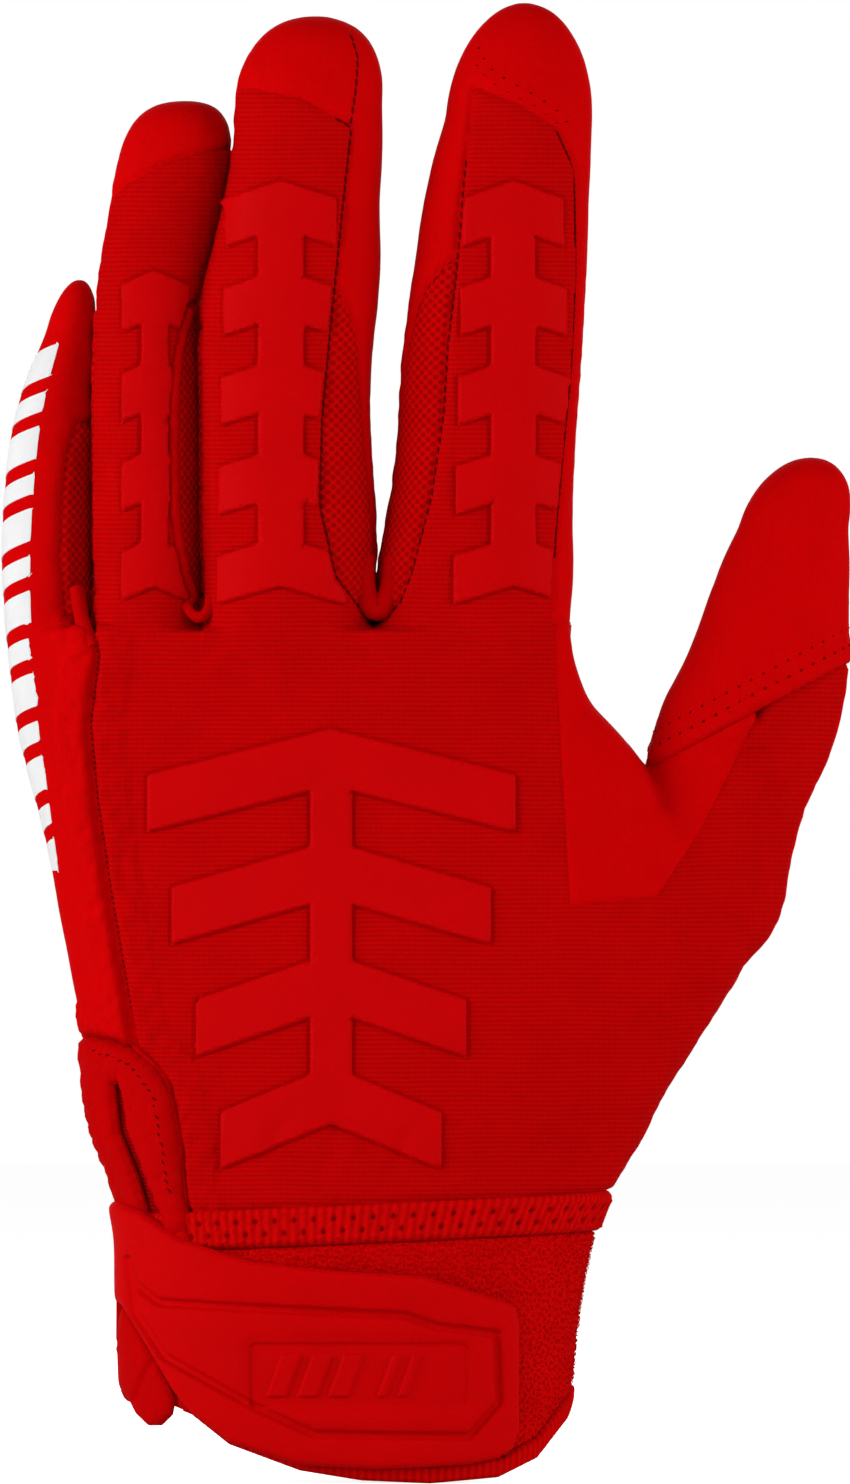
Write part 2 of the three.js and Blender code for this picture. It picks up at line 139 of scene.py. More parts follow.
# one closed form of hand and fingers, in millimetres
handShape = {
    "round": 2.35,
    "sides": [
        (-16, -33.4, 33.6), (0, -33.8, 34.6), (12, -34.6, 35.4), (21, -35, 36.2), (32, -35, 37.6),
        (41, -35.4, 39.6), (46, -36.4, 41.6), (52, -38.6, 45.2), (57, -40.6, 48.2), (62, -41.6, 50.6),
        (69, -42.4, 55), (77, -44.4, 60), (85, -46, 64.4), (93, -47.6, 63), (101, -49, 58), (109, -51, 52),
        (118, -53.4, 46.4), (122, -54.3, 43), (126, -54.8, 39.2), (130, -55.2, 37.4), (134, -55.8, 36.2),
        (138, -56, 35.7),
    ],
    "faces": [
        (-16, -20.6, 20.6), (0, -20.6, 20.6), (21, -20.6, 20.6), (41, -20, 20), (53, -18.6, 20), (69, -17, 20),
        (85, -15.6, 20), (97, -14.4, 19.5), (109, -13.2, 18.5), (119, -12.5, 17.4), (127, -12, 16),
        (138, -10.8, 13.6),
    ],
    "turn": [(-16, 0), (41, 0), (69, -2), (97, -4), (119, -5.6), (138, -6.5)],
}
fingerShapes = {
    "index": {
        "round": 2.2, "tip": (28.4, 3.5, 240.2), "domeRound": 1.95,
        "sides": [
            (112, 10, 30), (126, 6, 34.4), (139, 4.2, 35.7), (147, 4.4, 36.3), (158.4, 6.3, 36.2),
            (166.6, 7.5, 36.5), (174.7, 8.1, 37), (182.8, 8.6, 37.6), (191, 9.5, 38.1), (199, 10.6, 38.5),
            (207, 11.8, 38.8), (215.3, 13.7, 39.2), (221.5, 15.6, 39.5),
        ],
        "faces": [
            (112, -10, 9), (126, -11.6, 11.2), (139, -11.7, 11.9), (166, -10.4, 11.5), (191, -8.8, 11.4),
            (207, -7.7, 11.5), (221.5, -6.5, 11.7),
        ],
    },
    "middle": {
        "round": 2.2, "tip": (-5.6, 3, 237.9), "domeRound": 2.3,
        "sides": [
            (112, -18, 0), (126, -22, 2), (139, -23.7, 3.3), (150, -23.9, 4.2), (158.4, -24.05, 4.1),
            (166.6, -24.1, 3.6), (174.7, -24.15, 3.3), (182.8, -24.3, 3.7), (190.9, -24, 4.6),
            (199, -22.3, 5.1), (207, -20.45, 4.9), (215.3, -18.95, 5.4), (224, -18.6, 5.3),
        ],
        "faces": [
            (112, -10, 9), (126, -11.8, 11), (139, -12, 11.2), (166, -10.9, 11), (191, -9.5, 11),
            (210, -8.2, 11.2), (224, -7.1, 11.5),
        ],
    },
    "ring": {
        "round": 2.2, "tip": (-27, 7, 224.2), "domeRound": 2.8,
        "sides": [
            (114, -37, -28), (126, -40.4, -25.4), (139, -41.4, -24.15), (154, -41.55, -24.4),
            (171, -41.55, -24.45), (183, -41.5, -24.7), (189, -41.25, -24.85), (195, -41, -23.7),
            (199, -40.4, -22.8), (207, -38.9, -21), (212, -38.2, -20.1),
        ],
        "faces": [
            (114, -6, 11), (126, -6.8, 13.4), (139, -7, 14.3), (166, -5.7, 14.2), (191, -4.1, 14.5),
            (212, -2.5, 15),
        ],
    },
    "pinky": {
        "round": 2.2, "tip": (-44, 11, 195.6), "domeRound": 1.9,
        "sides": [
            (120, -50, -45), (128, -54, -43.2), (139, -56.2, -42), (146, -56.7, -41.9), (154, -56.7, -41.9),
            (162.5, -56.1, -41.9), (170.6, -55, -41.9), (178.8, -52.8, -41.9), (184, -50.7, -41.9),
            (187, -49.5, -41.8),
        ],
        "faces": [
            (120, 1, 15), (128, -0.6, 16.6), (139, -0.7, 17.2), (154, 0.3, 17.1), (166, 1.2, 17.2),
            (180, 3, 17), (187, 4.8, 16.6),
        ],
    },
    "thumb": {
        "round": 2.2, "tip": (75, 5, 166.3), "domeRound": 2.05,
        "sides": [
            (72, 28, 50), (80, 33, 60), (90, 38, 69.2), (96, 41.4, 71), (101.5, 44, 71.8), (109.7, 47, 74.2),
            (117.8, 48.6, 77.9), (126, 50.7, 80.1), (134, 54.8, 81), (142, 57.9, 81.2), (150.3, 61, 81.2),
            (155, 63.2, 81),
        ],
        "faces": [
            (72, -6, 14), (90, -8, 17), (109, -7, 17), (124, -6.2, 16.2), (138, -5.3, 15.3), (150.3, -4, 14),
            (155, -3.4, 13.6),
        ],
    },
}
skinSettings = {
    "voxel": 0.75, "smoothing": 9, "ringStep": 2.5, "handPoints": 120, "fingerPoints": 60, "domeRings": 12,
    "domeLeast": 0.02,
    # how far each finger is moved aside while the forms are joined, so that neighbours do not merge
    "apart": {"pinky": -9.0, "ring": -4.5, "middle": 0.0, "index": 3.0},
    "apartFrom": 128.0, "apartFull": 145.0, "gap": 0.2,
}
# the lines between neighbouring fingers, as (height, x)
gapLines = {
    "pinkyRing": [(100, -42.6), (128, -42.4), (139, -41.7), (185, -41.7), (190, -41.4), (200, -41.4)],
    "ringMiddle": [(100, -24), (139, -23.95), (154, -24.2), (172, -24.28), (189, -24.52), (192, -24),
                   (199, -22.55), (207, -20.75), (212, -19.75), (216, -19.2), (221, -19), (240, -19)],
    "middleIndex": [(100, 3.8), (139, 3.75), (150, 4.3), (158.4, 5.2), (175, 5.7), (199, 7.8), (215, 9.5),
                    (240, 14)],
}


fingerNames = ["pinky", "ring", "middle", "index"]


def smoothTable(rows, at):
    rows = np.array(rows, float)
    keys, values = rows[:, 0], rows[:, 1:]
    slopes = np.gradient(values, keys, axis=0)
    at = np.clip(at, keys[0], keys[-1])
    i = np.clip(np.searchsorted(keys, at) - 1, 0, len(keys) - 2)
    span = (keys[i + 1] - keys[i])[:, None]
    t = (at - keys[i])[:, None] / span
    return ((2 * t**3 - 3 * t**2 + 1) * values[i] + (t**3 - 2 * t**2 + t) * span * slopes[i]
            + (3 * t**2 - 2 * t**3) * values[i + 1] + (t**3 - t**2) * span * slopes[i + 1])


def lineAt(rows, at):
    rows = np.array(rows, float)
    return np.interp(at, rows[:, 0], rows[:, 1])


def smoothStep(t):
    t = np.clip(t, 0, 1)
    return t * t * (3 - 2 * t)


def ringOf(centre, halfX, halfY, turn, roundness, count):
    angle = 2 * np.pi * np.arange(count) / count
    u, v = np.cos(angle), np.sin(angle)
    u = np.sign(u) * np.abs(u) ** (2 / roundness) * halfX
    v = np.sign(v) * np.abs(v) ** (2 / roundness) * halfY
    c, s = math.cos(turn), math.sin(turn)
    return np.stack([centre[0] + u * c - v * s, centre[1] + u * s + v * c, np.full(count, centre[2])], 1)


def loft(shape, count):
    low, high = shape["sides"][0][0], shape["sides"][-1][0]
    heights = np.linspace(low, high, int((high - low) / skinSettings["ringStep"]) + 2)
    sides, faces = smoothTable(shape["sides"], heights), smoothTable(shape["faces"], heights)
    centres = np.stack([sides.mean(1), faces.mean(1), heights], 1)
    halfX, halfY = (sides[:, 1] - sides[:, 0]) / 2, (faces[:, 1] - faces[:, 0]) / 2
    turns = np.radians(lineAt(shape["turn"], heights)) if "turn" in shape else heights * 0
    rings = [ringOf(*row, shape["round"], count) for row in zip(centres, halfX, halfY, turns)]
    if "tip" in shape:
        bend = 2 / shape["domeRound"]
        for a in np.linspace(0, 0.5 * np.pi, skinSettings["domeRings"] + 1)[1:]:
            centre = centres[-1] + (np.array(shape["tip"], float) - centres[-1]) * math.sin(a) ** bend
            w = max(math.cos(a) ** bend, skinSettings["domeLeast"])
            rings.append(ringOf(centre, halfX[-1] * w, halfY[-1] * w, 0, shape["round"], count))
    points = np.concatenate(rings)
    grid = np.arange(len(points)).reshape(len(rings), count)
    a, b = grid[:-1], grid[1:]
    quads = np.stack([a, np.roll(a, -1, 1), np.roll(b, -1, 1), b], -1).reshape(-1, 4)
    triangles = [quads[:, [0, 1, 2]], quads[:, [0, 2, 3]]]
    for ring, flip in ((grid[0], -1), (grid[-1], 1)):
        points = np.concatenate([points, points[ring].mean(0, keepdims=True)])
        triangles.append(np.stack([*[ring, np.roll(ring, -1)][::flip], np.full(count, len(points) - 1)], 1))
    return points, np.concatenate(triangles)


def apartShift(x, z):
    shift, half = skinSettings["apart"], skinSettings["gap"]
    total = np.full(len(x), shift["pinky"])
    for rows, a, b in zip(gapLines.values(), fingerNames, fingerNames[1:]):
        total += (shift[b] - shift[a]) * np.clip((x - lineAt(rows, z) + half) / (2 * half), 0, 1)
    ramp = smoothStep((z - skinSettings["apartFrom"]) / (skinSettings["apartFull"] - skinSettings["apartFrom"]))
    return ramp * total


def bringTogether(x, z):
    low, high = x - 12, x + 12
    for _ in range(40):
        middle = (low + high) / 2
        over = middle + apartShift(middle, z) > x
        low, high = np.where(over, low, middle), np.where(over, middle, high)
    return (low + high) / 2


def joinForms(forms):
    points, triangles, start = [], [], 0
    for p, t in forms:
        points.append(p + apartShift(p[:, 0], p[:, 2])[:, None] * [1, 0, 0])
        triangles.append(t + start)
        start += len(p)
    draft = newObject("skinDraft",
                      newMesh("skinDraft", np.concatenate(points), np.concatenate(triangles).tolist()))
    remesh = draft.modifiers.new("join", "REMESH")
    remesh.mode = "VOXEL"
    remesh.voxel_size = skinSettings["voxel"] * mm
    smooth = draft.modifiers.new("soften", "SMOOTH")
    smooth.factor = 0.5
    smooth.iterations = skinSettings["smoothing"]
    made = grownMesh(draft)
    points = np.empty(len(made.vertices) * 3)
    made.vertices.foreach_get("co", points)
    made.calc_loop_triangles()
    triangles = np.empty(len(made.loop_triangles) * 3, int)
    made.loop_triangles.foreach_get("vertices", triangles)
    bpy.data.meshes.remove(made)
    points = points.reshape(-1, 3) / mm
    points[:, 0] = bringTogether(points[:, 0], points[:, 2])
    return points, triangles.reshape(-1, 3)


forms = [loft(handShape, skinSettings["handPoints"])]
forms += [loft(shape, skinSettings["fingerPoints"]) for shape in fingerShapes.values()]
points, triangles = joinForms(forms)
print("skin joined:", len(points), "points", len(triangles), "triangles")


# where the seams run, as seen from the front, in millimetres
seamPlaces = {
    "knuckle": 139.0, "sideSeam": 3.0, "rimHeight": 3.2, "rimRear": 12.5, "hemBand": 4.2,
    "hemLow": (51.2, 117.0), "hemHigh": (80.1, 132.4),
    "bandTop": 45.0, "bandTilt": 0.045, "bandTall": 6.2, "loopEdge": -30.0,
    "rimFront": [(-60, 14), (-30, 13), (-26, 11.4), (-19.5, 6.3), (-8, 2.1), (2, 0.5), (13, 0), (24, 0.9),
                 (30, 3.8), (34, 9), (37, 12.4), (60, 12.5)],
}
handOutlines = {
    "back": [(-25, 30), (-25.4, 39), (-26.9, 47), (-27.7, 54.5), (-29.5, 64), (-31.8, 67.3), (-34.9, 70),
             (-36.2, 78), (-39, 94.3), (-41.4, 110.5), (-42.5, 123), (-41, 134), (-42.4, 139.4), (-42.4, 160),
             (33.2, 160), (33.2, 136), (35.7, 93.4), (49.6, 94.7), (56.9, 105.6), (66.1, 124.2), (72, 140),
             (100, 140), (100, 30)],
    "web": [(33.2, 160), (33.2, 136), (35.7, 93.4), (49.6, 94.7), (56.9, 105.6), (66.1, 124.2), (62, 160)],
    "thumbPalm": [(10, 30), (13, 70), (25, 93), (38, 106), (47.5, 112), (56, 150), (110, 150), (110, 30)],
    "slit": [(-38.3, 64.2), (-37.2, 64.6), (-36, 57), (-33, 49.6), (-29.2, 41), (-26.6, 35), (-26.6, -6),
             (-31.2, -6), (-31, 37), (-34.5, 49), (-37.5, 56.5)],
    "ventBinding": [(-60, 72), (-41, 71.6), (-38, 71), (-34.9, 70), (-31.8, 67.3), (-29.5, 64), (-27.7, 54.5),
                    (-26.9, 47), (-25.4, 39), (-25, 30), (-25, -6), (-60, -6)],
}
fingerSeams = {
    "index": {
        "middleY": 1.0, "meshSpan": (-99, 22),
        "knit": [(4, 139), (7.8, 142.2), (9.8, 147), (13, 159.3), (15.1, 173), (15.8, 184.4), (17.1, 195),
                 (18.4, 211.3), (20.2, 226.4), (27, 223.6), (33.3, 219.8), (36.6, 213), (37, 195.8),
                 (36.2, 179.6), (35.2, 170.5), (33.9, 156), (33.2, 146), (33.2, 139), (33.2, 120), (4, 120)],
        "mesh": [(-9.5, 203), (-7.8, 200), (-4, 191.8), (-2.2, 183), (-1, 170), (0, 155), (1, 139), (-20, 139),
                 (-20, 203)],
    },
    "middle": {
        "middleY": 1.2, "leftOf": -17.0, "meshSpan": (-5.6, 99),
        "meshLeft": [(-2, 188), (0, 187), (4, 178), (5, 165), (5, 143.4), (-2, 143.4)],
        "knit": [(-30, 120), (-30, 224), (-16.3, 226.2), (-8, 224.4), (0.4, 219.7), (-1, 207), (-2.4, 193.4),
                 (-4.4, 171.6), (-4.7, 157.8), (-2.1, 146.6), (2.4, 141), (3.6, 139), (3.6, 120)],
        "mesh": [(-10, 193.6), (-8.3, 193.4), (-5.6, 184), (-4.4, 171.6), (-4, 157), (-2.4, 148), (-2, 139),
                 (-22, 139), (-22, 193.6)],
    },
    "ring": {
        "middleY": 4.6, "leftOf": -36.0, "meshSpan": (-33, 99),
        "meshLeft": [(2.4, 186), (4, 185), (7, 176), (8, 165), (8, 141.5), (2.4, 141.5)],
        "knit": [(-60, 120), (-60, 203), (-40, 207), (-36.6, 210.8), (-28, 214.6), (-20.8, 216.5), (-14, 217),
                 (-14, 197), (-22, 192.6), (-26, 190.9), (-28.3, 182), (-28.6, 170.6), (-28.6, 156),
                 (-26.6, 146), (-24.6, 142), (-24, 139), (-24, 120)],
        "mesh": [(-6, 192.4), (4, 188), (4.5, 165), (4.5, 143.4), (-20, 143.4), (-20, 192.4)],
    },
    "pinky": {
        "middleY": 8.5, "meshSpan": (-52, 99), "meshRear": 13,
        "mesh": [(-46.9, 160), (-46, 167), (-44.2, 172), (-30, 172), (-30, 140.4), (-46.2, 140.4),
                 (-47.2, 150)],
    },
}


def outlineSide(outline, p, across=0):
    # signed distance to an outline as seen along one axis, above 0 inside it
    x, z = p[:, across], p[:, 2]
    corners = np.array(outline, float)
    near, inside = np.full(len(x), 1e9), np.zeros(len(x), bool)
    for (ax, az), (bx, bz) in zip(corners, np.roll(corners, -1, 0)):
        dx, dz = bx - ax, bz - az
        t = np.clip(((x - ax) * dx + (z - az) * dz) / (dx * dx + dz * dz), 0, 1)
        near = np.minimum(near, np.hypot(x - ax - t * dx, z - az - t * dz))
        inside ^= ((az > z) != (bz > z)) & (x < ax + (z - az) * dx / (dz if dz else 1e-9))
    return np.where(inside, near, -near)


def seenFrom(outline):
    return lambda p: outlineSide(outline, p)


def hemSide(p):
    (ax, az), (bx, bz) = seamPlaces["hemLow"], seamPlaces["hemHigh"]
    return ((p[:, 2] - az) * (bx - ax) - (p[:, 0] - ax) * (bz - az)) / math.hypot(bx - ax, bz - az)


def rimSide(p):
    mix = smoothStep((p[:, 1] + 6) / 6)
    return p[:, 2] - lineAt(seamPlaces["rimFront"], p[:, 0]) * (1 - mix) - seamPlaces["rimRear"] * mix


def bandSide(p):
    top = seamPlaces["bandTop"] + seamPlaces["bandTilt"] * p[:, 0]
    return np.minimum(top - p[:, 2], p[:, 2] - top + seamPlaces["bandTall"])


def frontOf(p, outline, limit):
    return np.minimum(outlineSide(outline, p), limit - p[:, 1])


def onThumb(p):
    return (p[:, 0] > 48.8) & (p[:, 2] > 100) & (hemSide(p) > 0)


def fingerOf(p):
    number = sum((p[:, 0] > lineAt(rows, p[:, 2])).astype(int) for rows in gapLines.values())
    return np.where((p[:, 2] > seamPlaces["knuckle"]) & ~onThumb(p) & (p[:, 0] < 45), number, -1)


def fingerLimit(p, name):
    # how far round to the side the back of a finger goes
    rise = smoothStep((p[:, 2] - seamPlaces["knuckle"]) / 12)
    return seamPlaces["sideSeam"] + (fingerSeams[name]["middleY"] - seamPlaces["sideSeam"]) * rise


def fingerWhere(name):
    return lambda p: fingerOf(p + np.array([0, 0, 0.02])) == fingerNames.index(name)


def handWhere(p):
    return (p[:, 2] < seamPlaces["knuckle"] + 0.02) & ~onThumb(p - np.array([0, 0, 0.02]))


def allInside(p):
    return np.full(len(p), 9.0)


def fingerRules(name):
    own, seams = fingerWhere(name), fingerSeams[name]
    low, high = seams["meshSpan"]
    rules = []
    if "leftOf" in seams:
        rules.append((name + "MeshLeft", lambda p: own(p) & (p[:, 0] < seams["leftOf"]),
                      lambda p: outlineSide(seams["meshLeft"], p, 1)))
    if "knit" in seams:
        rules.append((name + "Knit", own, lambda p: frontOf(p, seams["knit"], fingerLimit(p, name))))
    side = ((lambda p: frontOf(p, seams["mesh"], seams["meshRear"])) if "meshRear" in seams
            else lambda p: outlineSide(seams["mesh"], p, 1))
    return rules + [(name + "Mesh", lambda p: own(p) & (p[:, 0] > low) & (p[:, 0] < high), side),
                    (name + "Wrap", own, allInside)]


def inFront(name, limit=seamPlaces["sideSeam"]):
    return lambda p: frontOf(p, handOutlines[name], limit)


def onCuff(p):
    return handWhere(p) & (p[:, 2] < 42)


# the panels, in the order in which they claim the skin: name, where it may lie, and its signed distance
rules = [
    ("thumbHem", onThumb, lambda p: seamPlaces["hemBand"] - hemSide(p)),
    ("thumbStall", onThumb, lambda p: hemSide(p) + 1),
    ("cutAway", handWhere, lambda p: -rimSide(p)),
    ("cutAway", handWhere, inFront("slit", 0)),
    ("ventBinding", handWhere, inFront("ventBinding")),
    ("rimBinding", handWhere, lambda p: seamPlaces["rimHeight"] - rimSide(p)),
    ("elasticBand", handWhere, bandSide),
    ("cuffLoop", onCuff,
     lambda p: np.minimum(p[:, 0] - seamPlaces["loopEdge"], seamPlaces["sideSeam"] - p[:, 1])),
    ("cuffRear", onCuff, allInside),
    ("webPatch", handWhere, inFront("web")),
    ("backKnit", handWhere, inFront("back")),
    ("thumbPalm", lambda p: handWhere(p) & (p[:, 1] > 0), seenFrom(handOutlines["thumbPalm"])),
    ("palmGrip", handWhere, allInside),
]
for name in fingerNames:
    rules += fingerRules(name)


def cutAt(points, triangles, side, where, snap=0.2):
    value = side(points)
    slope = np.stack([side(points + np.eye(3)[k] * 0.01) - value for k in range(3)], 1) / 0.01
    size = np.maximum((slope**2).sum(1), 0.05)
    close = (np.abs(value) < snap) & where(points)
    points = points.copy()
    points[close] -= (slope * (value / size)[:, None])[close]
    value = np.where(close, 0.0, value)
    usable = where(points)
    value = np.where(usable, value, np.nan)
    v = value[triangles]
    with np.errstate(invalid="ignore"):
        plus, minus = v > 0, v < 0
    touched = ~np.isnan(v).any(1) & plus.any(1) & minus.any(1)
    keep, work = triangles[~touched], triangles[touched]
    if not len(work):
        return points, triangles
    v = value[work]
    plusCount, zeroCount = (v > 0).sum(1), (v == 0).sum(1)
    lone = np.where(zeroCount == 1, np.argmax(v == 0, 1),
                    np.where(plusCount == 1, np.argmax(v > 0, 1), np.argmax(v < 0, 1)))
    order = (lone[:, None] + np.arange(3)) % 3
    work = np.take_along_axis(work, order, 1)
    one = zeroCount == 1
    first = np.where(one[:, None], work[:, [1, 2]], work[:, [0, 1]])
    second = work[:, [0, 2]]
    pairs = np.sort(np.concatenate([first, second[~one]]), 1)
    unique, index = np.unique(pairs, axis=0, return_inverse=True)
    index = index.reshape(-1)
    va, vb = value[unique[:, 0]], value[unique[:, 1]]
    t = (va / (va - vb))[:, None]
    fresh = points[unique[:, 0]] * (1 - t) + points[unique[:, 1]] * t
    firstNew = len(points) + index[:len(work)]
    secondNew = np.full(len(work), -1)
    secondNew[~one] = len(points) + index[len(work):]
    a, b, c = work.T
    parts = [keep,
             np.stack([a, b, firstNew], 1)[one], np.stack([a, firstNew, c], 1)[one],
             np.stack([a, firstNew, secondNew], 1)[~one], np.stack([firstNew, b, c], 1)[~one],
             np.stack([firstNew, c, secondNew], 1)[~one]]
    return np.concatenate([points, fresh]), np.concatenate(parts)


def labelled(points, triangles, rules):
    middle = points[triangles].mean(1)
    label = np.full(len(triangles), -1)
    names = []
    for name, where, side in rules:
        if name not in names:
            names.append(name)
        free = (label < 0) & where(middle)
        value = np.zeros(len(middle))
        value[free] = side(middle[free])
        label[free & (value > 0)] = names.index(name)
    return label, names
# the cuts through the skin, in order: signed distance, where it counts, how near a point snaps onto it
cuts = [(lambda p: p[:, 2] - seamPlaces["knuckle"], lambda p: p[:, 0] < 46, 0.2),
        (hemSide, lambda p: (p[:, 0] > 44) & (p[:, 2] > 100), 0.2)]
for rows in gapLines.values():
    cuts.append((lambda p, rows=rows: p[:, 0] - lineAt(rows, p[:, 2]),
                 lambda p: (p[:, 2] > seamPlaces["knuckle"] - 0.01) & (p[:, 2] < 146), 0.05))
cuts += [(side, where, 0.2) for name, where, side in rules]

# raised chevrons on the back and the fingers, as outlines seen from the front, in millimetres
fingerPrint = {"low": 145.0, "pitch": 14.5, "count": 5, "bar": 8.2, "rise": 3.0}
printShapes = {
    "hand": {"middleX": -3.0, "low": 58.0, "pitch": 18.2, "count": 4, "halfLow": 18.0, "halfHigh": 30.0,
             "bar": 9.6,
             "rise": 7.5, "spine": 7.0},
    "index": {**fingerPrint, "middleX": 26.5, "halfLow": 9.8, "halfHigh": 8.2, "spine": 7.4},
    "middle": {**fingerPrint, "middleX": -11.2, "halfLow": 10.4, "halfHigh": 9.0, "spine": 7.6},
    "ring": {**fingerPrint, "middleX": -31.7, "count": 4, "halfLow": 5.4, "halfHigh": 5.4, "rise": 2.4,
             "spine": 4.4},
}
printEdge = {"margin": 0.7, "height": 0.58, "base": -0.2, "round": 0.3, "press": 0.36, "pressWidth": 0.45,
             "sunk": 0.3}
# slanted bars on the little-finger edge, two in each pitch; by height, "front" is the angle at which they begin
# and "reach" how far they then go round towards the palm
stripeShape = {
    "low": 99.0, "high": 186.0, "pitch": 13.4, "bars": [(0.0, 5.4), (7.7, 3.3)], "slant": 0.34, "film": 0.1,
    "reach": {"hand": [(95, 10), (140, 10)], "pinky": [(139, 9.8), (157, 21)]},
    "front": {"hand": [(95, -87), (99, -86), (112, -81), (127, -77), (134, -80), (140, -85)],
              "pinky": [(138, -22), (150, -20), (165, -18), (186, -16)]}}


def chevronOutline(s):
    high = s["low"] + s["pitch"] * (s["count"] - 1) + s["bar"]
    edge, side = s["spine"] / 2, []
    for i in range(s["count"]):
        reach = s["halfLow"] + (s["halfHigh"] - s["halfLow"]) * i / (s["count"] - 1)
        base, drop = s["low"] + i * s["pitch"], s["rise"] * edge / reach
        side += [(edge, base - drop), (reach, base - s["rise"]),
                 (reach, base + s["bar"] - s["rise"]), (edge, base + s["bar"] - drop)]
    outline = [(0, s["low"])] + side + [(0, high)] + [(-x, z) for x, z in reversed(side)]
    return [(s["middleX"] + x, z) for x, z in outline]


def printSide(name):
    whole = seenFrom(chevronOutline(printShapes[name]))
    if name == "hand":
        return whole
    return lambda p: np.minimum(whole(p), outlineSide(fingerSeams[name]["knit"], p) - printEdge["margin"])


def printWhere(name):
    if name == "hand":
        return lambda p: (p[:, 1] < 0) & (p[:, 2] > 46) & (p[:, 2] < 126) & (p[:, 0] < 34)
    own = fingerWhere(name)
    return lambda p: own(p) & (p[:, 1] < fingerSeams[name]["middleY"] - 1) & (p[:, 2] > 140)


def arcPlace(points, form):
    # the direction of each point round its form, in radians, and the radius that turns it into a length
    shape = handShape if form == "hand" else fingerShapes[form]
    side, face = smoothTable(shape["sides"], points[:, 2]), smoothTable(shape["faces"], points[:, 2])
    halfX, halfY = (side[:, 1] - side[:, 0]) / 2, (face[:, 1] - face[:, 0]) / 2
    x = (points[:, 0] - side.mean(1)) / halfX
    y = (points[:, 1] - face.mean(1)) / halfY
    return np.arctan2(x, -y), np.minimum(halfX, halfY) * 1.05


def stripeSide(form):
    s = stripeShape

    def side(p):
        angle, radius = arcPlace(p, form)
        across = (np.radians(lineAt(s["front"][form], p[:, 2])) - angle) * radius
        across = np.where(angle > 1.5, across + 2 * np.pi * radius, across)
        sheared = p[:, 2] + s["slant"] * across
        height = np.mod(sheared - s["low"], s["pitch"])
        inside = np.full(len(p), -9.0)
        for low, tall in s["bars"]:
            for start in (low, low + s["pitch"]):
                inside = np.maximum(inside, np.minimum(height - start, start + tall - height))
        ends = np.minimum(p[:, 2] - s["low"], s["high"] - sheared)
        return np.minimum(np.minimum(inside, ends),
                          np.minimum(across, lineAt(s["reach"][form], p[:, 2]) - across))
    return side


def stripeWhere(form):
    if form == "hand":
        return lambda p: (p[:, 0] < np.where(p[:, 2] > 130, -48.0, -38.0)) & (p[:, 2] > 96) & (p[:, 2] < 139.02)
    own = fingerWhere("pinky")
    return lambda p: own(p) & (p[:, 0] < -42) & (p[:, 2] < 187)


for name in printShapes:
    for inset, snap in ((0.0, 0.2), (printEdge["round"], 0.08), (-printEdge["pressWidth"], 0.08)):
        cuts.append((lambda p, side=printSide(name), inset=inset: side(p) - inset, printWhere(name), snap))
stripePanels = {"hand": "palmGrip", "pinky": "pinkyWrap"}
cuts += [(stripeSide(form), stripeWhere(form), 0.12) for form in stripePanels]
for side, where, snap in cuts:
    points, triangles = cutAt(points, triangles, side, where, snap)
label, labelNames = labelled(points, triangles, rules)
middles = points[triangles].mean(1)


def pickOf(panel, where=None, side=None):
    # the faces of a panel, or those of them that lie inside a shape
    pick = label == labelNames.index(panel)
    if side:
        pick &= where(middles)
        pick[pick] = side(middles[pick]) > 0
    return pick


extraPicks = {name + "Print": pickOf("backKnit" if name == "hand" else name + "Knit", printWhere(name),
                                     printSide(name))
              for name in printShapes}
extraPicks |= {form + "Stripes": pickOf(panel, stripeWhere(form), stripeSide(form))
               for form, panel in stripePanels.items()}
print("skin cut:", len(triangles), "triangles", {name: int(pick.sum()) for name, pick in extraPicks.items()})


seamKinds = {
    # depth and width of the groove that the thread pulls in, height and distance of the puff beside it
    "deep": {"depth": 1.4, "width": 0.8, "puff": 0.6, "reach": 2.2, "ripple": 0.5},
    "sewn": {"depth": 0.55, "width": 0.5, "puff": 0.22, "reach": 1.5, "ripple": 0.45},
    "flat": {"depth": 0.16, "width": 0.4, "puff": 0.0, "reach": 1.0, "ripple": 0.0},
}
# panels of one cloth, which the knuckle line parts for the joint alone
seamlessPairs = [("Knit", "backKnit"), ("Wrap", "palmGrip"), ("Wrap", "webPatch"), ("Wrap", "backKnit"),
                 ("Knit", "palmGrip"), ("Knit", "webPatch"), ("Wrap", "Wrap"), ("Knit", "Knit")]


def kindOfSeam(a, b, height):
    pair = {a, b}
    if "cutAway" in pair or pair == {"thumbHem", "thumbStall"}:
        return None
    crossing = any((a.endswith(u) and b.endswith(v)) or (b.endswith(u) and a.endswith(v))
                   for u, v in seamlessPairs)
    if crossing and abs(height - seamPlaces["knuckle"]) < 0.5:
        return None
    if pair == {"backKnit", "palmGrip"} or "ventBinding" in pair:
        return "deep"
    return "flat" if pair & {"webPatch", "thumbStall"} else "sewn"


def edgeTable(triangles):
    edges = np.concatenate([triangles[:, [0, 1]], triangles[:, [1, 2]], triangles[:, [2, 0]]])
    owner = np.tile(np.arange(len(triangles)), 3)
    key = edges.min(1).astype(np.int64) * (edges.max() + 1) + edges.max(1)
    order = np.argsort(key, kind="stable")
    return edges[order], owner[order], key[order]


def seamEdges():
    edges, owner, key = edgeTable(triangles)
    same = np.nonzero(key[1:] == key[:-1])[0]
    differ = same[label[owner[same]] != label[owner[same + 1]]]
    return [(*edges[i], labelNames[label[owner[i]]], labelNames[label[owner[i + 1]]]) for i in differ]


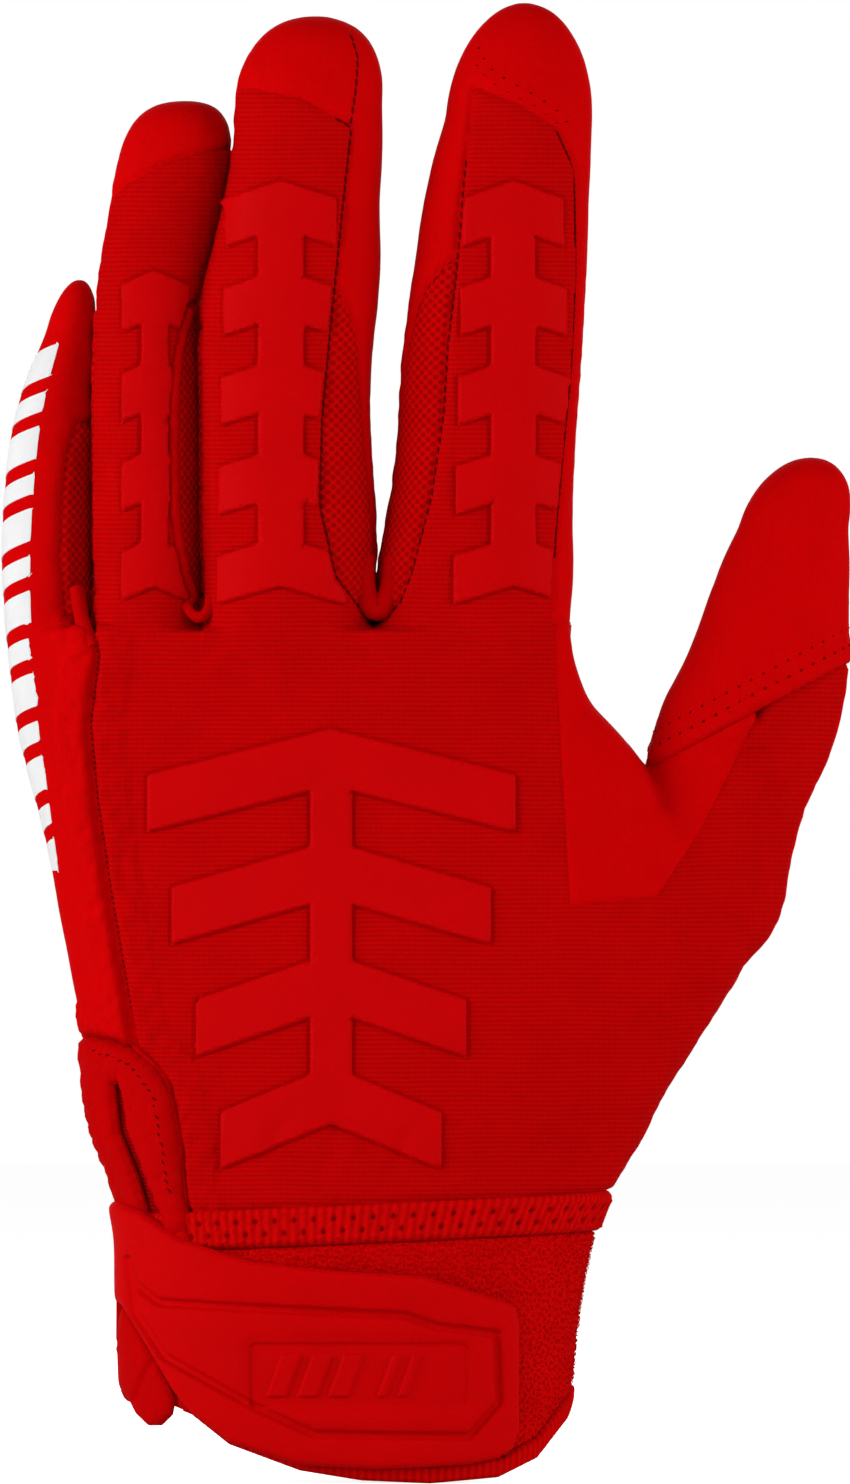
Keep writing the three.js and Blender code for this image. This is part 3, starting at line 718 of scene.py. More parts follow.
def openEdges(triangles):
    edges, owner, key = edgeTable(triangles)
    unique, first, count = np.unique(key, return_index=True, return_counts=True)
    return edges[first[count == 1]]


def sampled(points, pairs, spacing=0.2):
    a, b = points[pairs[:, 0]], points[pairs[:, 1]]
    count = np.maximum(1, np.ceil(np.linalg.norm(b - a, axis=1) / spacing)).astype(int)
    out = []
    for n in np.unique(count):
        pick = count == n
        out += [a[pick] + (b[pick] - a[pick]) * (k / n) for k in range(n + 1)]
    return np.concatenate(out)


def distanceTo(pairs, points, at, reach=6.0):
    # distance from each place to a set of edges, no more than the reach
    samples = sampled(points, pairs)
    tree = kdtree.KDTree(len(samples))
    for i, q in enumerate(samples):
        tree.insert(q, i)
    tree.balance()
    return np.array([min(reach, tree.find(q)[2]) for q in at])


def normalsOf(points, triangles):
    a, b, c = points[triangles].transpose(1, 0, 2)
    face = np.cross(b - a, c - a)
    total = np.zeros_like(points)
    for k in range(3):
        np.add.at(total, triangles[:, k], face)
    return unit(total)


def noiseAt(points, size, seed=0.0):
    size = np.broadcast_to(np.array(size, float), (3,))
    return np.array([noise.noise(q) for q in points / size + seed])


def offLine(p, start, end):
    # distance from a short line, as seen from the front
    (ax, az), (bx, bz) = start, end
    dx, dz = bx - ax, bz - az
    t = np.clip(((p[:, 0] - ax) * dx + (p[:, 2] - az) * dz) / (dx * dx + dz * dz), 0, 1)
    return np.hypot(p[:, 0] - ax - t * dx, p[:, 2] - az - t * dz)


seamList = seamEdges()
rest = points.copy()
normals = normalsOf(points, triangles)
lift = np.zeros(len(points))
for kind, s in seamKinds.items():
    pairs = np.array([(a, b) for a, b, u, v in seamList if kindOfSeam(u, v, points[a, 2]) == kind])
    d = distanceTo(pairs, points, points)
    t, near = d / s["reach"], d < 6
    ripple = np.zeros(len(points))
    if s["ripple"]:
        ripple[near] = noiseAt(points[near], 1.8)
    lift -= s["depth"] * np.exp(-(d / s["width"]) ** 2)
    lift += s["puff"] * t * np.exp(1 - t) * (1 + s["ripple"] * 2 * ripple) * near
for name in printShapes:
    inside = printWhere(name)(points)
    d = np.full(len(points), 9.0)
    d[inside] = printSide(name)(points[inside])
    t = (d + printEdge["pressWidth"]) / printEdge["pressWidth"]
    lift -= printEdge["press"] * smoothStep(t) * (d < 9) * (d > -printEdge["pressWidth"])

foldSettings = {"amount": 0.16, "contact": 0.32, "size": (13, 13, 24), "fine": 0.05, "fineSize": 4.0}
# soft creases, each a short line on the front: two ends (x, z), width and depth
creases = [
    ((-14, 52.5), (-11, 58), 1.6, 0.35), ((-4, 50.5), (-2, 57), 1.8, 0.4), ((7, 50), (9, 56), 1.6, 0.35),
    ((20, 51), (24, 58), 1.7, 0.35), ((30, 52), (36, 60), 1.8, 0.4), ((45, 105), (53, 99), 1.6, 0.3),
    ((44, 108), (51, 110), 1.5, 0.35), ((60, 118), (68, 112), 1.8, 0.3), ((-20, 138), (-24, 133), 1.4, 0.3),
    ((2, 137), (5, 131), 1.5, 0.35), ((28, 134), (33, 128), 1.6, 0.3), ((66, 131), (74, 138), 1.8, 0.3),
    ((-46, 112), (-45, 124), 1.6, 0.3), ((-50, 84), (-45, 92), 1.8, 0.35), ((-40, 76), (-43, 82), 1.4, 0.35),
]
lift += foldSettings["amount"] * noiseAt(points, foldSettings["size"])
# neighbouring fingers press against each other
for line, low, high in (("ringMiddle", 146, 216), ("pinkyRing", 146, 190)):
    off = points[:, 0] - lineAt(gapLines[line], points[:, 2])
    near = smoothStep((points[:, 2] - low) / 8) * (points[:, 2] < high)
    lift += foldSettings["contact"] * np.exp(-off ** 2) * near
lift += foldSettings["fine"] * noiseAt(points, foldSettings["fineSize"])
facing = np.clip(-normals[:, 1] * 1.6, 0, 1)
for start, end, width, depth in creases:
    lift -= depth * np.exp(-(offLine(points, start, end) / width) ** 2) * facing
points = points + normals * lift[:, None]
normals = normalsOf(points, triangles)
skinTree = BVHTree.FromPolygons(points.tolist(), triangles.tolist())
print("relief made")


def makeObject(name, points, triangles, material, normals, place, form, pit):
    mesh = newMesh(name, points, triangles.tolist())
    mesh.materials.append(material)
    mesh.polygons.foreach_set("use_smooth", [True] * len(mesh.polygons))
    setAttribute(mesh, "place", place * mm)
    # painted shade kept per point: it darkens the elastic's colour in its pits and grooves
    if pit is not None:
        setAttribute(mesh, "pit", pit)
    angle, radius = arcPlace(place, form)
    corner = angle[triangles]
    wide = (corner.max(1) - corner.min(1)) > math.pi
    corner[wide] = np.where(corner[wide] < 0, corner[wide] + 2 * math.pi, corner[wide])
    layer = mesh.uv_layers.new(name="weave")
    flat = np.stack([corner * radius[triangles] * mm, place[triangles][:, :, 2] * mm], -1)
    layer.data.foreach_set("uv", flat.astype(np.float32).ravel())
    mesh.normals_split_custom_set(normals.reshape(-1, 3).tolist())
    return newObject(name, mesh)


def roundedEdge(d, width):
    t = 1 - np.clip(d / width, 0, 1)
    return np.sqrt(np.maximum(1 - t * t, 0))


def shell(name, points, normals, triangles, finish, outer, inner, place=None, form="hand", pit=None,
          rounding=0.0):
    # a closed piece: an outer face, an inner face and the edge between them
    used, index = np.unique(triangles, return_inverse=True)
    faces = index.reshape(-1, 3)
    p, n = points[used], normals[used]
    place = p if place is None else place[used]
    raised = outer[used] if isinstance(outer, np.ndarray) else np.full(len(p), float(outer))
    rim = openEdges(faces)
    if rounding:
        loose = np.abs(p[rim].mean(1)[:, 2] - seamPlaces["knuckle"]) > 0.3
        raised = raised * roundedEdge(distanceTo(rim[loose], p, p, 3.0), rounding)
    pit = None if pit is None else np.concatenate([pit[used], np.zeros(len(used))])
    top, under = p + n * raised[:, None], p + n * inner
    a, b = rim[:, 0], rim[:, 1]
    wall = np.concatenate([np.stack([b, a, a + len(p)], 1), np.stack([b, a + len(p), b + len(p)], 1)])
    topNormals = normalsOf(top, faces) if np.any(raised != raised[0]) else n
    a, b, c = np.concatenate([top, under])[wall].transpose(1, 0, 2)
    flat = unit(np.cross(b - a, c - a))
    loops = np.concatenate([topNormals[faces], -n[faces[:, ::-1]], np.repeat(flat[:, None], 3, 1)])
    return makeObject(name, np.concatenate([top, under]),
                      np.concatenate([faces, faces[:, ::-1] + len(p), wall]),
                      finishes[finish], loops, np.concatenate([place, place]), form, pit)


bendPlaces = {
    "knuckle": ((0, 0, 139), (0, 0, 157)),
    "hem": ((65.65, 5, 124.7), (65.65 - 0.470227 * 13, 5, 124.7 + 0.882548 * 13)),
    "strap": ((-39.3, 0, 30), (-38.2, -9, 30)),
}


def attach(item, body, slot, *nodes):
    bend = {"thumb": "hem", "strap": "strap"}.get(body, "knuckle" if body.endswith("_finger") else None)
    if bend:
        start, end = bendPlaces[bend]
        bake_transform(item, "hand", body, start=[v * mm for v in start], end=[v * mm for v in end])
    else:
        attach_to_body(item, body)
    if nodes:
        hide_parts(*nodes)


def stripes(tree, distance, pitch, wander=0.0):
    # soft lines across a distance in millimetres, from 0 to 1
    turn = addNode(tree, "ShaderNodeMath", {"operation": "MULTIPLY_ADD"}, _0=distance, _1=2 * math.pi / pitch,
                   _2=wander)
    wave = addNode(tree, "ShaderNodeMath", {"operation": "SINE"}, _0=turn)
    return addNode(tree, "ShaderNodeMath", {"operation": "MULTIPLY_ADD"}, _0=wave, _1=0.5, _2=0.5)


# how unevenly the dye is taken up: size of the clouds, in parts of a millimetre, and the levels that count
dyeClouds = {"scale": 0.11, "low": 0.3, "high": 0.7}
reliefStrength = 0.8


def newFinish(name, pattern, s):
    # a colour between two dyes, unevenly taken up, and the relief of the pattern that mixes them
    material, tree, shader = newMaterial(name, s["roughness"], s["specular"])
    # where each point of the cloth lies at rest, in millimetres, so that patterns keep to the cloth as it bends
    rested = addNode(tree, "ShaderNodeAttribute", {"attribute_name": "place"})
    place = addNode(tree, "ShaderNodeVectorMath", {"operation": "SCALE"}, _0=rested.outputs["Vector"],
                    Scale=1000)
    factor, height = pattern(tree, place, s)
    cloud = addNode(tree, "ShaderNodeTexNoise", Vector=place, Scale=dyeClouds["scale"], Detail=3.0,
                    Roughness=0.6)
    shade = addNode(tree, "ShaderNodeMapRange", Value=cloud, From_Min=dyeClouds["low"],
                    From_Max=dyeClouds["high"],
                    To_Min=1 - s["mottle"], To_Max=1 + s["mottle"])
    dyed = addNode(tree, "ShaderNodeMix", {"data_type": "RGBA"}, _0=factor, _6=linear(s["dark"]),
                   _7=linear(s["light"]))
    colour = addNode(tree, "ShaderNodeVectorMath", {"operation": "SCALE"}, _0=dyed.outputs[2], Scale=shade)
    bump = addNode(tree, "ShaderNodeBump", Strength=reliefStrength, Distance=s["depth"] * mm, Height=height)
    tree.links.new(colour.outputs[0], shader.inputs["Base Color"])
    tree.links.new(bump.outputs[0], shader.inputs["Normal"])
    return material


# weft-knitted polyester: matt, with a fine cross rib that reads as dark and light lines
knitSettings = {"ribPitch": 0.76, "columnPitch": 0.9, "dark": "#a60102", "light": "#bc0204", "depth": 0.08,
                "mottle": 0.05, "roughness": 0.9, "specular": 0.01}


def ribKnit(tree, place, s):
    axes = addNode(tree, "ShaderNodeSeparateXYZ", _0=place)
    sway = addNode(tree, "ShaderNodeTexNoise", Vector=place, Scale=0.07, Detail=1.0)
    wander = addNode(tree, "ShaderNodeMath", {"operation": "MULTIPLY"}, _0=sway, _1=5.0)
    ribs = stripes(tree, axes.outputs["Z"], s["ribPitch"], wander)
    columns = stripes(tree, axes.outputs["X"], s["columnPitch"])
    weave = addNode(tree, "ShaderNodeMath", {"operation": "MULTIPLY_ADD"}, _0=columns, _1=0.35, _2=0.65)
    height = addNode(tree, "ShaderNodeMath", {"operation": "MULTIPLY"}, _0=ribs, _1=weave)
    fibre = addNode(tree, "ShaderNodeTexNoise", Vector=place, Scale=2.2, Detail=2.0, Roughness=0.7)
    uneven = addNode(tree, "ShaderNodeMath", {"operation": "MULTIPLY_ADD"}, _0=fibre, _1=0.5, _2=-0.25)
    factor = addNode(tree, "ShaderNodeMath", {"operation": "ADD", "use_clamp": True}, _0=height, _1=uneven)
    return factor, height


# coated microfibre, as synthetic leather: an even dyed face with a very fine pressed grain, barely any gloss
syntheticSettings = {"grain": 0.45, "dark": "#b80002", "light": "#c60002", "depth": 0.02, "mottle": 0.035,
                     "roughness": 0.78, "specular": 0.012}


def coatedSynthetic(tree, place, s):
    grain = addNode(tree, "ShaderNodeTexVoronoi", {"feature": "SMOOTH_F1"}, Vector=place, Scale=1 / s["grain"])
    fine = addNode(tree, "ShaderNodeTexNoise", Vector=place, Scale=1.1, Detail=4.0, Roughness=0.65)
    return fine, addNode(tree, "ShaderNodeMath", {"operation": "MULTIPLY_ADD"}, _0=fine, _1=1.2, _2=grain)


# warp-knitted air mesh: round holes in staggered rows between matt threads, drawn from the cloth's own run
meshSettings = {"pitch": 1.55, "dark": "#960102", "light": "#c60203", "depth": 0.2, "mottle": 0.05,
                "roughness": 0.92, "specular": 0.01}


def airMesh(tree, place, s):
    weave = addNode(tree, "ShaderNodeUVMap", {"uv_map": "weave"})
    cells = addNode(tree, "ShaderNodeVectorMath", {"operation": "SCALE"}, _0=weave, Scale=1000 / s["pitch"])
    offs = []
    for start in ((0, 0, 0), (0.5, 0.5, 0)):
        moved = addNode(tree, "ShaderNodeVectorMath", {"operation": "ADD"}, _0=cells, _1=start)
        cell = addNode(tree, "ShaderNodeVectorMath", {"operation": "FRACTION"}, _0=moved)
        middle = addNode(tree, "ShaderNodeVectorMath", {"operation": "SUBTRACT"}, _0=cell, _1=(0.5, 0.5, 0))
        offs.append(addNode(tree, "ShaderNodeVectorMath", {"operation": "LENGTH"}, _0=middle).outputs["Value"])
    nearest = addNode(tree, "ShaderNodeMath", {"operation": "MINIMUM"}, _0=offs[0], _1=offs[1])
    thread = addNode(tree, "ShaderNodeMapRange", Value=nearest, From_Min=0.1, From_Max=0.36)
    fibre = addNode(tree, "ShaderNodeTexNoise", Vector=place, Scale=2.6, Detail=2.0)
    factor = addNode(tree, "ShaderNodeMath", {"operation": "MULTIPLY_ADD"}, _0=fibre, _1=-0.35, _2=thread)
    return addNode(tree, "ShaderNodeMath", {"operation": "MAXIMUM"}, _0=factor, _1=0.0), thread


# brushed nylon loop: a matt nap of small tufts, with painted shade darkening the hollows between them
loopSettings = {"tuft": 0.55, "dark": "#b00102", "light": "#cc0304", "depth": 0.16, "mottle": 0.07,
                "roughness": 0.95, "specular": 0.01}


def loopPile(tree, place, s):
    tufts = addNode(tree, "ShaderNodeTexVoronoi", {"feature": "F1"}, Vector=place, Scale=1 / s["tuft"],
                    Randomness=0.85)
    # the colour follows each tuft's height, so the hollows between tufts carry painted shade
    dome = addNode(tree, "ShaderNodeMapRange", Value=tufts, From_Min=0.15, From_Max=0.75, To_Min=1.0,
                   To_Max=0.0)
    return dome, dome


# ribbed polyester elastic: upright cords side by side, with pits where the gathering thread draws it in; the
# pits and the grooves between the cords carry painted shade, a darker colour standing in for the shade that
# falls in them
elasticSettings = {"ribPitch": 0.8, "dark": "#7c0102", "light": "#ca0304", "depth": 0.06, "mottle": 0.05,
                   "roughness": 0.9, "specular": 0.01}


def elasticWebbing(tree, place, s):
    weave = addNode(tree, "ShaderNodeUVMap", {"uv_map": "weave"})
    along = addNode(tree, "ShaderNodeSeparateXYZ", _0=weave)
    run = addNode(tree, "ShaderNodeMath", {"operation": "MULTIPLY"}, _0=along, _1=1000.0)
    cords = stripes(tree, run, s["ribPitch"])
    # painted shade from the mesh darkens the colour in the pits and between the cords
    pit = addNode(tree, "ShaderNodeAttribute", {"attribute_name": "pit"})
    shadeDimming = addNode(tree, "ShaderNodeMath", {"operation": "MULTIPLY_ADD", "use_clamp": True},
                    _0=pit.outputs["Fac"],
                    _1=-1.0, _2=1.0)
    factor = addNode(tree, "ShaderNodeMath", {"operation": "MULTIPLY"}, _0=cords, _1=0.45)
    level = addNode(tree, "ShaderNodeMath", {"operation": "ADD"}, _0=factor, _1=0.55)
    return addNode(tree, "ShaderNodeMath", {"operation": "MULTIPLY"}, _0=level, _1=shadeDimming), cords


def evenGrain(tree, place, s):
    fine = addNode(tree, "ShaderNodeTexNoise", Vector=place, Scale=1 / s["grain"], Detail=3.0, Roughness=0.6)
    return fine, fine


def evenFinish(name, *values):
    # one dye with a fine grain as its only pattern: grain and depth in millimetres
    keys = ("dark", "light", "grain", "depth", "roughness", "specular")
    return newFinish(name, evenGrain, {"mottle": 0.03, **dict(zip(keys, values))})


finishes = {
    "knit": newFinish("ribKnitPolyester", ribKnit, knitSettings),
    "gusset": newFinish("fineInnerKnit", ribKnit, {**knitSettings, "ribPitch": 0.6, "dark": "#7a0102",
                                                   "light": "#a00203"}),
    "smooth": newFinish("coatedSynthetic", coatedSynthetic, syntheticSettings),
    "padding": newFinish("softSyntheticBinding", coatedSynthetic, {**syntheticSettings, "dark": "#aa0002",
                                                                   "light": "#ba0002"}),
    "mesh": newFinish("polyesterAirMesh", airMesh, meshSettings),
    "loop": newFinish("nylonLoopPile", loopPile, loopSettings),
    "elastic": newFinish("ribbedElastic", elasticWebbing, elasticSettings),
    # raised silicone print: satin, a little brighter than the knit under it, faintly stippled by the screen
    "print": evenFinish("raisedSilicone", "#b60003", "#c20003", 0.5, 0.012, 0.6, 0.02),
    # moulded thermoplastic rubber of the strap: even and nearly matt, spark-eroded mould texture
    "moulded": evenFinish("mouldedRubber", "#b80002", "#c20003", 0.35, 0.015, 0.7, 0.02),
    # white heat-transfer film: dense and matt
    "film": evenFinish("whiteTransferFilm", "#d6d6d6", "#dedede", 0.6, 0.01, 0.6, 0.05),
    # bonded polyester thread, tonal, and the darker one of the show seams
    "thread": evenFinish("tonalThread", "#9c0203", "#c00304", 0.12, 0.03, 0.7, 0.02),
    "darkThread": evenFinish("darkThread", "#4e0001", "#6c0102", 0.12, 0.03, 0.75, 0.02),
    # needle holes: the shadowed inside of a punched hole
    "hole": evenFinish("needleHole", "#6a0001", "#7c0001", 0.3, 0.01, 0.9, 0.0),
    "hook": evenFinish("hookTape", "#860102", "#a00203", 0.4, 0.03, 0.6, 0.03),
}
print("finishes made")

# the CAD nodes of the pieces that aren't named like them
otherNodes = {"indexMeshSide": "index_mesh_pinky_side", "middleMeshSide": "middle_mesh_thumb_side",
              "ringMeshSide": "ring_mesh_thumb_side", "handRaisedPrint": "back_raised_print"}


def nodeOf(name):
    return otherNodes.get(name, "".join("_" + c.lower() if c.isupper() else c for c in name))


def bodyOf(form):
    return form + "_finger" if form in fingerNames else form


# the hem's band stands highest along the fold and runs out up the stall
hemShape = {"height": 0.62, "round": 0.45, "level": 1.4, "runOut": 2.8}
hemRise = hemShape["height"] * roundedEdge(hemSide(rest), hemShape["round"])
hemRise = hemRise * (1 - smoothStep((hemSide(rest) - hemShape["level"]) / hemShape["runOut"]))
# how thick the cloth is under its outer face
cloth = 0.85
panelPieces = {
    # piece: panel, form, finish and slot, then thickness outwards and inwards and the rounding of its edge
    "backKnitPanel": ("backKnit", "hand", "knit", "rib_knit"),
    "thumbWebPatch": ("webPatch", "hand", "smooth", "smooth_synthetic", 0.3, cloth, 0.35),
    "palmGripPanel": ("palmGrip", "hand", "smooth", "smooth_synthetic"),
    "thumbPalmPanel": ("thumbPalm", "hand", "smooth", "smooth_synthetic"),
    "cuffLoopPanel": ("cuffLoop", "hand", "loop", "loop_pile", 0.25, cloth, 0.4),
    "cuffRearPanel": ("cuffRear", "hand", "smooth", "smooth_synthetic"),
    "ventBinding": ("ventBinding", "hand", "padding", "elastic_webbing", 1.3, 0.5, 2.6),
    "thumbStall": ("thumbStall", "thumb", "smooth", "smooth_synthetic"),
    "thumbHemBand": ("thumbHem", "thumb", "smooth", "smooth_synthetic", hemRise, cloth, 0),
}
for finger in fingerNames:
    if finger != "pinky":
        panelPieces[finger + "BackKnit"] = (finger + "Knit", finger, "knit", "rib_knit")
    if "leftOf" in fingerSeams[finger]:
        panelPieces[finger + "MeshPinkySide"] = (finger + "MeshLeft", finger, "mesh", "air_mesh")
    panelPieces[finger + "MeshSide"] = (finger + "Mesh", finger, "mesh", "air_mesh")
    panelPieces[finger + "SmoothWrap"] = (finger + "Wrap", finger, "smooth", "smooth_synthetic")
for name, (panel, form, finish, slot, *more) in panelPieces.items():
    outer, inner, rounding = more or (0, cloth, 0)
    faces = triangles[pickOf(panel)]
    item = shell(name, points, normals, faces, finish, outer, -inner, rest, form, None, rounding)
    attach(item, bodyOf(form), slot, nodeOf(name))

for form in printShapes:
    faces = triangles[extraPicks[form + "Print"]]
    used = np.unique(faces)
    raised = np.zeros(len(points))
    d = distanceTo(openEdges(faces), points, points[used], 2.0)
    step = printEdge["height"] - printEdge["base"]
    raised[used] = printEdge["press"] + printEdge["base"] + step * roundedEdge(d, printEdge["round"])
    item = shell(form + "RaisedPrint", points, normals, faces, "print", raised, -printEdge["sunk"], rest, form)
    attach(item, bodyOf(form), "raised_silicone", nodeOf(form + "RaisedPrint"))
for form in stripePanels:
    faces = triangles[extraPicks[form + "Stripes"]]
    item = shell(form + "EdgeStripes", points, normals, faces, "film", stripeShape["film"], -0.2, rest, form)
    attach(item, bodyOf(form), "smooth_synthetic")
print("panels and prints made")


def wristPoint(angle, z):
    # a point of the cuff's form by the direction from its middle, in radians, and its height
    side, face = smoothTable(handShape["sides"], z), smoothTable(handShape["faces"], z)
    r = handShape["round"]
    reach = (np.abs(np.cos(angle)) ** r + np.abs(np.sin(angle)) ** r) ** (-1 / r)
    x = (side[:, 1] - side[:, 0]) / 2 * reach * np.cos(angle)
    y = (face[:, 1] - face[:, 0]) / 2 * reach * np.sin(angle)
    turn = np.radians(lineAt(handShape["turn"], z))
    return np.stack([side.mean(1) + x * np.cos(turn) - y * np.sin(turn),
                     face.mean(1) + x * np.sin(turn) + y * np.cos(turn), z], 1)


# lengths round the wrist by direction, taken at the middle of the cuff, over two full turns
angleTable = np.linspace(-2 * np.pi, 2 * np.pi, 8001)
girthHeight = 22.0
roundTable = wristPoint(angleTable, np.full(len(angleTable), girthHeight))
runTable = np.concatenate([[0], np.cumsum(np.linalg.norm(np.diff(roundTable, axis=0), axis=1))])
wristGirth = runTable[-1] / 2


def wristRun(p):
    # distance round the wrist, in millimetres, from the front of the hand's little-finger edge
    side, face = smoothTable(handShape["sides"], p[:, 2]), smoothTable(handShape["faces"], p[:, 2])
    x = (p[:, 0] - side.mean(1)) / (side[:, 1] - side[:, 0])
    y = (p[:, 1] - face.mean(1)) / (face[:, 1] - face[:, 0])
    return np.interp(np.arctan2(y, x), angleTable, runTable)


def wristCords(p, pitch):
    return 0.5 + 0.5 * np.cos(2 * np.pi * wristRun(p) / wristGirth * round(wristGirth / pitch))


def wristPatch(fromAngle, toAngle, low, high, step, closed=False):
    # a fine grid on the cuff's form, between two directions in degrees and two heights
    ends = np.interp(np.radians([fromAngle, toAngle]), angleTable, runTable)
    runs = np.linspace(ends[0], ends[1], int((ends[1] - ends[0]) / step) + 2)
    angles = np.interp(runs[:-1] if closed else runs, runTable, angleTable)
    heights = np.linspace(low, high, int((high - low) / step) + 2)
    a, z = np.meshgrid(angles, heights)
    grid = np.arange(a.size).reshape(a.shape)
    left, right = (grid, np.roll(grid, -1, 1)) if closed else (grid[:, :-1], grid[:, 1:])
    quads = np.stack([left[:-1], right[:-1], right[1:], left[1:]], -1).reshape(-1, 4)
    return wristPoint(a.ravel(), z.ravel()), np.concatenate([quads[:, [0, 1, 2]], quads[:, [0, 2, 3]]])


def raisedPatch(patch, height):
    points, triangles = patch
    return points + normalsOf(points, triangles) * height, triangles


def cutPatch(patch, sides, keep=None):
    # cuts a patch along each signed distance, then keeps the part inside all of them, or inside the first few
    points, triangles = patch
    for side, snap in sides:
        points, triangles = cutAt(points, triangles, side, lambda p: np.ones(len(p), bool), snap)
    middle = points[triangles].mean(1)
    inside = np.all([side(middle) > 0 for side, snap in sides[:keep]], 0)
    return points, normalsOf(points, triangles), triangles[inside]


def cuffPiece(name, patch, finish, raised, under, slot, body="hand", pit=None):
    attach(shell(name, *patch, finish, raised, under, pit=pit), body, slot, nodeOf(name))


bandShape = {"outer": 0.95, "round": 1.1, "ribPitch": 0.85, "ribHeight": 0.13, "pitCount": 62,
             "rows": (2.05, 4.05),
             "pitWidth": 0.4, "pitTall": 0.45, "pitDepth": 0.6, "strandHeight": 0.3, "strandWidth": 0.36,
             "strandMargin": 1.3, "strandTurns": 1.15, "strandStart": 0.25, "plainEdge": 0.9, "plainSoft": 0.5,
             "pitShade": 1.15, "shadeFrom": 0.08, "cordShade": 0.12}


def bandHeights(p):
    # height and painted shade of the elastic: cords, two rows of pits, and gathering threads that cross between
    # them; the shade is painted dark into the pits and the grooves between the cords
    s = bandShape
    tall = seamPlaces["bandTall"]
    high = p[:, 2] - (seamPlaces["bandTop"] + seamPlaces["bandTilt"] * p[:, 0]) + tall
    spacing = wristGirth / s["pitCount"]
    run = wristRun(p) / wristGirth * s["pitCount"]
    edge = roundedEdge(np.minimum(high, tall - high), s["round"])
    pits, strands = np.zeros(len(p)), np.zeros(len(p))
    for i, row in enumerate(s["rows"]):
        off = (np.mod(run + 0.5 * i, 1) - 0.5) * spacing
        pits = np.maximum(pits, np.exp(-(off / s["pitWidth"]) ** 2 - ((high - row) / s["pitTall"]) ** 2))
    low, span = s["rows"][0] - s["strandMargin"], s["rows"][1] - s["rows"][0] + 2 * s["strandMargin"]
    for way in (1, -1):
        phase = np.mod(run + way * (high - low) / span * s["strandTurns"] + s["strandStart"], 1)
        strands = np.maximum(strands, np.exp(-(np.abs(phase - 0.5) * spacing / s["strandWidth"]) ** 2))
    strands *= ((high > low) & (high < low + span)) * (1 - pits)
    cords = wristCords(p, s["ribPitch"])
    ribbed = 1 - smoothStep((np.minimum(high, tall - high) - s["plainEdge"]) / s["plainSoft"])
    raised = s["outer"] * edge + s["ribHeight"] * cords * ribbed * edge
    raised = raised + s["strandHeight"] * strands - s["pitDepth"] * pits
    # the second value is painted shade: darker colour in the pits and in the grooves between the cords
    return raised, np.clip(pits * s["pitShade"] - s["shadeFrom"] + s["cordShade"] * (1 - cords) * ribbed, 0, 1)


patch = cutPatch(wristPatch(-180, 180, 33, 50, 0.26, True), [(bandSide, 0.08)])
raised, pit = bandHeights(patch[0])
cuffPiece("wristElasticBand", patch, "elastic", raised, -cloth, "elastic_webbing", pit=pit)

rimShape = {"outer": 0.85, "round": 1.0, "ribPitch": 0.8, "ribHeight": 0.06, "cordShade": 0.06}
rimSides = [(rimSide, 0.08), (lambda p: seamPlaces["rimHeight"] - rimSide(p), 0.08)]
patch = cutPatch(wristPatch(-180, 180, -1, 18, 0.3, True), rimSides)
cords = wristCords(patch[0], rimShape["ribPitch"])
edge = roundedEdge(np.minimum(*(side(patch[0]) for side, snap in rimSides)), rimShape["round"])
raised = (rimShape["outer"] + rimShape["ribHeight"] * cords) * edge
# painted shade in the grooves between the binding's cords
cuffPiece("cuffRimBinding", patch, "elastic", raised, -cloth, "elastic_webbing",
          pit=rimShape["cordShade"] * (1 - cords))

strapShape = {
    "top": 3.0, "under": 1.3, "edge": 0.9, "edgeDrop": 1.1, "foldY": -0.43,
    "outline": [(-44, 45.4), (-40, 45.2), (-34.5, 43.8), (-27.6, 39.4), (-16.2, 36), (-3, 34.5), (12, 33.6),
                (25, 29.6), (27.2, 28.6), (27.8, 26), (27.8, 8.5), (26.8, 5.6), (24.4, 4), (19.5, 3.1),
                (13, 2.7), (4.5, 2.4), (-8, 3), (-19.5, 6.6), (-26.4, 11.8), (-29, 14.8), (-31.4, 18.8),
                (-34.4, 23.6), (-37.4, 28.4), (-44, 31)],
    "frame": [(-36, 36), (-34.8, 32), (-31, 29.2), (-19, 28.6), (9, 27.2), (14.2, 25.4), (23.8, 24.2),
              (24.2, 13.2), (19.4, 7.6), (-5.6, 8), (-15.4, 12.4), (-30, 20.4), (-35, 27.6)],
    "window": [(-16.2, 22.2), (-15.6, 22.8), (18.6, 22.8), (19.4, 22), (19.4, 13), (18.6, 12.2), (-15.6, 12.2),
               (-16.2, 12.8)],
    "grooveWidth": 0.42, "grooveSoft": 0.35, "grooveDepth": 0.7, "crown": 0.3, "windowDepth": 0.42,
    "motifHeight": 0.5, "motifSoft": 0.25, "crownWidth": 2.2, "crownSoft": 2.0, "windowSoft": 0.3,
    "frameLine": 0.5,
    "uneven": 0.07, "unevenSize": 9.0, "unevenSeed": 3.1,
    # a plain motif in the window: five slanted bars, three of them wide, as left foot and width
    "motif": [(-13.6, 3.4), (-8.6, 3.4), (-3.6, 3.4), (4.4, 1.5), (7.6, 1.5)], "motifSpan": (14, 21),
    "motifLean": 2.6,
}


def motifBar(foot, width):
    (low, high), lean = strapShape["motifSpan"], strapShape["motifLean"]
    return [(foot, low), (foot + width, low), (foot + width + lean, high), (foot + lean, high)]


strapMotif = [motifBar(*bar) for bar in strapShape["motif"]]


